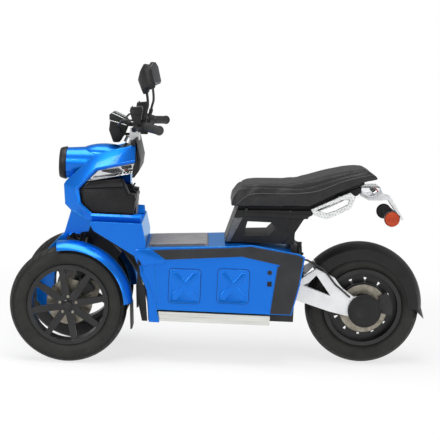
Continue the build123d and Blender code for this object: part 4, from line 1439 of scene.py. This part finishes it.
DISPLAY = ((495, 985), (481, 995), (431, 973.5), (413, 951), (420.5, 943.5), (494, 962))
CABLE_COVER = ((492, 968), (496, 921), (477, 872), (451, 873), (430, 912), (417, 950))
SCREEN_LOW, SCREEN_HIGH = place(431, -50, 974.2), place(480, -50, 995.2)


def make_cluster():
    """The display box with bright edges and its screen, and the cable cover below."""
    parts = [side_plate(DISPLAY, -59, 59, 0.0025), side_plate(CABLE_COVER, -43, 43, 0.005)]
    for n in range(3):
        rib = ((492 - n, 950), (490 - n, 946), (440, 938), (440, 942))
        parts.append(side_plate([(x, z - 9 * n) for x, z in rib], -44.5, 44.5))
    parts.append(box_piece(place(400.5, -12, 938), place(424, 12, 954)))
    stand_in(
        join(parts), "display_box", "handlebar", BLACK, "instrument_cluster"
    )
    slope = (SCREEN_HIGH - SCREEN_LOW).normalized()
    lift = Vector((-slope.z, 0, slope.x)) * 0.0012
    low, high = SCREEN_LOW + slope * 0.002, SCREEN_HIGH - slope * 0.002
    screen = plate_piece([low, high, high + lift, low + lift], LEFTWARD * 0.1)
    soften(screen, 0.0004)
    fit(screen, "display_screen", "handlebar", SCREEN)
    edges = []
    for start, end in (((484, 993.6), (430, 970.2)), ((494, 964), (424, 946.6))):
        under = ((end[0] - 1, end[1] - 3), (start[0] + 1, start[1] - 3))
        edges.append(side_plate((start, end, *under), -60, 60))
    fit(join(edges), "display_edges", "handlebar", CHROME)


make_switch_blocks()
make_mirrors()
make_cluster()


# ---------------------------------------------------------------- wheels and small fittings

HUB_CAP = ((0, 1), (0, 24), (3.6, 24), (6.3, 21), (7.2, 12), (9.9, 10), (10.8, 1))
HUB_BOLTS = 5
HUB_BOLT_RING = 0.034
HUB_BOLT_R = 0.0042
FIRST_BOLT = 0.3
AXLE_PLATE = ((-1, 1), (-1, 56), (1.2, 56.5), (2.2, 54), (2.2, 30), (0.8, 28), (0.8, 1))


def make_wheel_fittings():
    """Hub caps, bolts and valves on the front wheels, and plates on the rear axle's covers."""
    wheel = FRONT_WHEEL

    def both_wheels(piece, stem, material):
        both_sides(
            piece, stem, "left_front_wheel", material, twin_body="right_front_wheel"
        )

    start = Vector((wheel.x + 0.012, 0.5, wheel.z))
    hub_out = nodes["left_front_rim"].ray_cast(start, -LEFTWARD)[1].y
    cap_foot = Vector((wheel.x, hub_out - 0.0015, wheel.z))
    cap = turned_piece(profile_of(HUB_CAP), cap_foot, LEFTWARD, 40)
    both_wheels(cap, "hub_cap", GLOSS_BLACK)
    heads = []
    for number in range(HUB_BOLTS):
        angle = FIRST_BOLT + number * math.tau / HUB_BOLTS
        reach = Vector((math.cos(angle), 0, math.sin(angle))) * HUB_BOLT_RING
        spot = Vector((wheel.x, hub_out - 0.001, wheel.z)) + reach
        washer = rod_piece(spot, spot + LEFTWARD * 0.0015, HUB_BOLT_R * 1.35, 16)
        head = rod_piece(spot, spot + LEFTWARD * 0.0055, HUB_BOLT_R, 6)
        soften(head, 0.0006)
        heads += [washer, head]
    both_wheels(join(heads), "hub_bolts", STEEL)
    foot = wheel + Vector((-0.035, 0, 0.139))
    valve = []
    for low, high, radius, sides in (
        ((0.002, 0, 0.012), (0.006, 0.012, -0.018), 0.003, 16),
        ((0.005, 0.010, -0.014), (0.0065, 0.014, -0.023), 0.0042, 12),
    ):
        valve.append(rod_piece(foot + Vector(low), foot + Vector(high), radius, sides))
    both_wheels(join(valve), "wheel_valve", HOSE)
    centre = place(-575, 0, 236)
    centre.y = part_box("axle_covers")[1].y
    plate = turned_piece(profile_of(AXLE_PLATE), centre, LEFTWARD, 56)
    both_sides(plate, "axle_cover_plate", "chassis", BLACK)


def make_springs():
    """Coil springs round the rear shock and the two front struts."""
    spring = coil_piece(place(-312, 0, 326), place(-301, 0, 452), 0.0185, 0.0034, 8)
    fit(spring, "rear_spring", "chassis", BLACK_METAL, smooth=60)
    coil = coil_piece(place(589, 68, 376), place(571, 41, 462), 0.0165, 0.003, 7)
    both_sides(coil, "front_spring", "chassis", BLACK_METAL, smooth=60)


WHEEL_COVER = (
    (352, 430), (344, 428), (337, 398), (342, 361), (317, 300), (309, 222), (304, 174),
    (326, 174), (346, 257), (352, 337),
)
PILLAR_CORNER = ((-24, 596), (-60, 598), (-14, 500), (4, 499))
PILLAR_STEP = ((-62, 622), (-330, 622), (-322, 604), (-70, 604))
PILLAR_REAR = ((-262, 600), (-300, 600), (-232, 500), (-212, 500))


def make_side_covers():
    """The black cover behind each front wheel, and the textured corners of the seat pillar."""
    cover = side_plate(WHEEL_COVER, 188, 192, 0.001)
    both_sides(cover, "wheel_side_cover", "chassis", BLACK)
    corner = side_plate(PILLAR_CORNER, 110.5, 114, 0.0012)
    both_sides(corner, "pillar_corner_plate", "chassis", PLATE)
    step = side_plate(PILLAR_STEP, 110.5, 115, 0.0015)
    rear = side_plate(PILLAR_REAR, 110.5, 114.5, 0.0015)
    both_sides(join([step, rear]), "pillar_ribs", "chassis", BLACK)


LOCK_BARREL = ((-1, 0.5), (-1, 9.5), (2, 9.5), (3, 8.5), (3, 6), (1.8, 5.5), (1.8, 0.5))


def make_lock_and_bolts():
    """The key lock and charging port behind the pads, and screws on panels and pillar."""
    barrel = turned_piece(profile_of(LOCK_BARREL), place(-176, 190, 392), LEFTWARD, 32)
    both_sides(barrel, "panel_lock", "chassis", BLACK_METAL)
    keyhole = side_plate(oblong(-176.8, 388, 1.6, 8), 191, 192.2)
    port = side_plate(oblong(-186, 336, 18, 20), 189.6, 192.5)
    sunken_plate(port, 0.0025, 0.0015)
    soften(port, 0.001)
    both_sides(join([keyhole, port]), "panel_port", "chassis", BLACK)
    heads = []
    for x, z, y in ((-73, 632, 111.5), (-250, 632, 111.5), (-300, 700, 87.5)):
        spot = place(x, y, z)
        head = rod_piece(spot, spot + LEFTWARD * 0.003, 0.006, 24, 0.0045)
        sunken_plate(head, 0.0022, 0.0015)
        heads.append(head)
    both_sides(join(heads), "pillar_screws", "chassis", BLACK_METAL)


MAT_HALF = 0.143
MAT_T = 0.009


def lid_top(x):
    """The height of the battery lid's top at a place along the floor."""
    design_x = (x + SHIFT) * 1000
    return (470 + 0.06 * (322 - design_x)) / 1000


def make_mat():
    """The ribbed mat on the battery lid, with a rounded rim."""
    low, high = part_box("battery_lid")
    mat = box_piece(
        Vector((low.x + 0.004, -MAT_HALF, 0)), Vector((high.x - 0.004, MAT_HALF, MAT_T))
    )
    round_corners(mat, 2, 0.012, 4)
    soften(mat, 0.0025, 3)
    for spot in mat.data.vertices:
        spot.co.z += lid_top(spot.co.x) - 0.0015
    fit(mat, "floor_mat", "battery_lid", MAT)


make_wheel_fittings()
make_springs()
make_side_covers()
make_lock_and_bolts()
make_mat()


# ---------------------------------------------------------------- floor, light and camera

AMBIENT = 0.42
FLOOR_GLOW = {"From Min": 0.9, "From Max": 2.4, "To Min": 0.72, "To Max": 1.0}


def seen_by(tree, *rays):
    """Whether any of these kinds of ray is looking, as 0 or 1."""
    path = add_node(tree, "LightPath").outputs
    seen = path[rays[0]]
    for ray in rays[1:]:
        seen = maths(tree, "MAXIMUM", seen, path[ray])
    return seen


def make_floor():
    """A plain pale floor that keeps the shadow and is white to the camera and in gloss."""
    material, tree, shader = new_material("pale_floor")
    colour, gloss = tone_of(tree, grey(0.86), grey(0.88), 0.8, 0.05, 3.0)
    tree.links.new(colour, shader.inputs["Base Color"])
    tree.links.new(gloss, shader.inputs["Roughness"])
    glow = add_node(tree, "Emission", {"Color": (1, 1, 1, 1), "Strength": 1.0})
    seen = seen_by(tree, "Is Camera Ray", "Is Glossy Ray", "Is Transmission Ray")
    far = add_node(tree, "VectorMath", {0: own_spot(tree)}, operation="LENGTH").outputs["Value"]
    fade = add_node(
        tree, "MapRange", {"Value": far, **FLOOR_GLOW}, interpolation_type="SMOOTHSTEP"
    )
    share = maths(tree, "MULTIPLY", seen, fade.outputs["Result"])
    mixed = {0: share, 1: shader.outputs["BSDF"], 2: glow.outputs["Emission"]}
    surface = add_node(tree, "MixShader", mixed).outputs[0]
    tree.links.new(surface, tree.nodes["Material Output"].inputs["Surface"])
    clear_selection()
    bpy.ops.mesh.primitive_plane_add(size=60, location=(0, 0, 0))
    floor = bpy.context.object
    floor.name = "floor"
    floor.data.materials.append(material)


def make_world():
    """White to the camera and in reflections, and a plain pale light otherwise."""
    world = bpy.data.worlds.new("studio")
    scene.world = world
    world.use_nodes = True
    tree = world.node_tree
    seen = seen_by(tree, "Is Camera Ray", "Is Transmission Ray")
    strength = add_node(tree, "MapRange", {"Value": seen, "To Min": AMBIENT, "To Max": 1.0})
    back = tree.nodes["Background"]
    back.inputs["Color"].default_value = (1, 1, 1, 1)
    tree.links.new(strength.outputs["Result"], back.inputs["Strength"])


def softbox(name, spot, aim, size, power):
    """A wide studio lamp pointed at a spot."""
    lamp = bpy.data.lights.new(name, "AREA")
    lamp.shape = "RECTANGLE"
    lamp.size, lamp.size_y = size
    lamp.energy = power
    holder = bpy.data.objects.new(name, lamp)
    holder.location = spot
    holder.rotation_euler = (Vector(aim) - Vector(spot)).to_track_quat("-Z", "Y").to_euler()
    scene.collection.objects.link(holder)


make_floor()
make_world()
softbox("overhead", (0.3, 0.5, 3.2), (0, 0, 0.4), (3.4, 1.6), 85)
softbox("key", (2.4, 3.0, 2.3), (0.1, 0, 0.5), (1.6, 1.2), 62)
softbox("fill", (-2.8, 2.6, 1.2), (0, 0, 0.45), (1.6, 1.4), 26)

# The camera stands on the left, a little above and in front of the middle.
FOCAL_IN_FRAMES = 1219.824 / 440
SENSOR = 36.0
PITCH, YAW, ROLL = 0.142, -0.013, 0.047
CAMERA_SPOT = place(94.3, 4976.4, 1280)
ahead = Vector(
    (math.sin(YAW) * math.cos(PITCH), -math.cos(YAW) * math.cos(PITCH), -math.sin(PITCH))
)
right = Vector((-math.cos(YAW), -math.sin(YAW), 0))
up = right.cross(ahead)
rolled_right = right * math.cos(ROLL) + up * math.sin(ROLL)
rolled_up = up * math.cos(ROLL) - right * math.sin(ROLL)
camera = bpy.data.objects.new("camera", bpy.data.cameras.new("camera"))
scene.collection.objects.link(camera)
camera.data.sensor_width = SENSOR
camera.data.lens = FOCAL_IN_FRAMES * SENSOR
turn = Matrix((rolled_right, rolled_up, -ahead)).transposed()
camera.matrix_world = Matrix.Translation(CAMERA_SPOT) @ turn.to_4x4()
scene.camera = camera
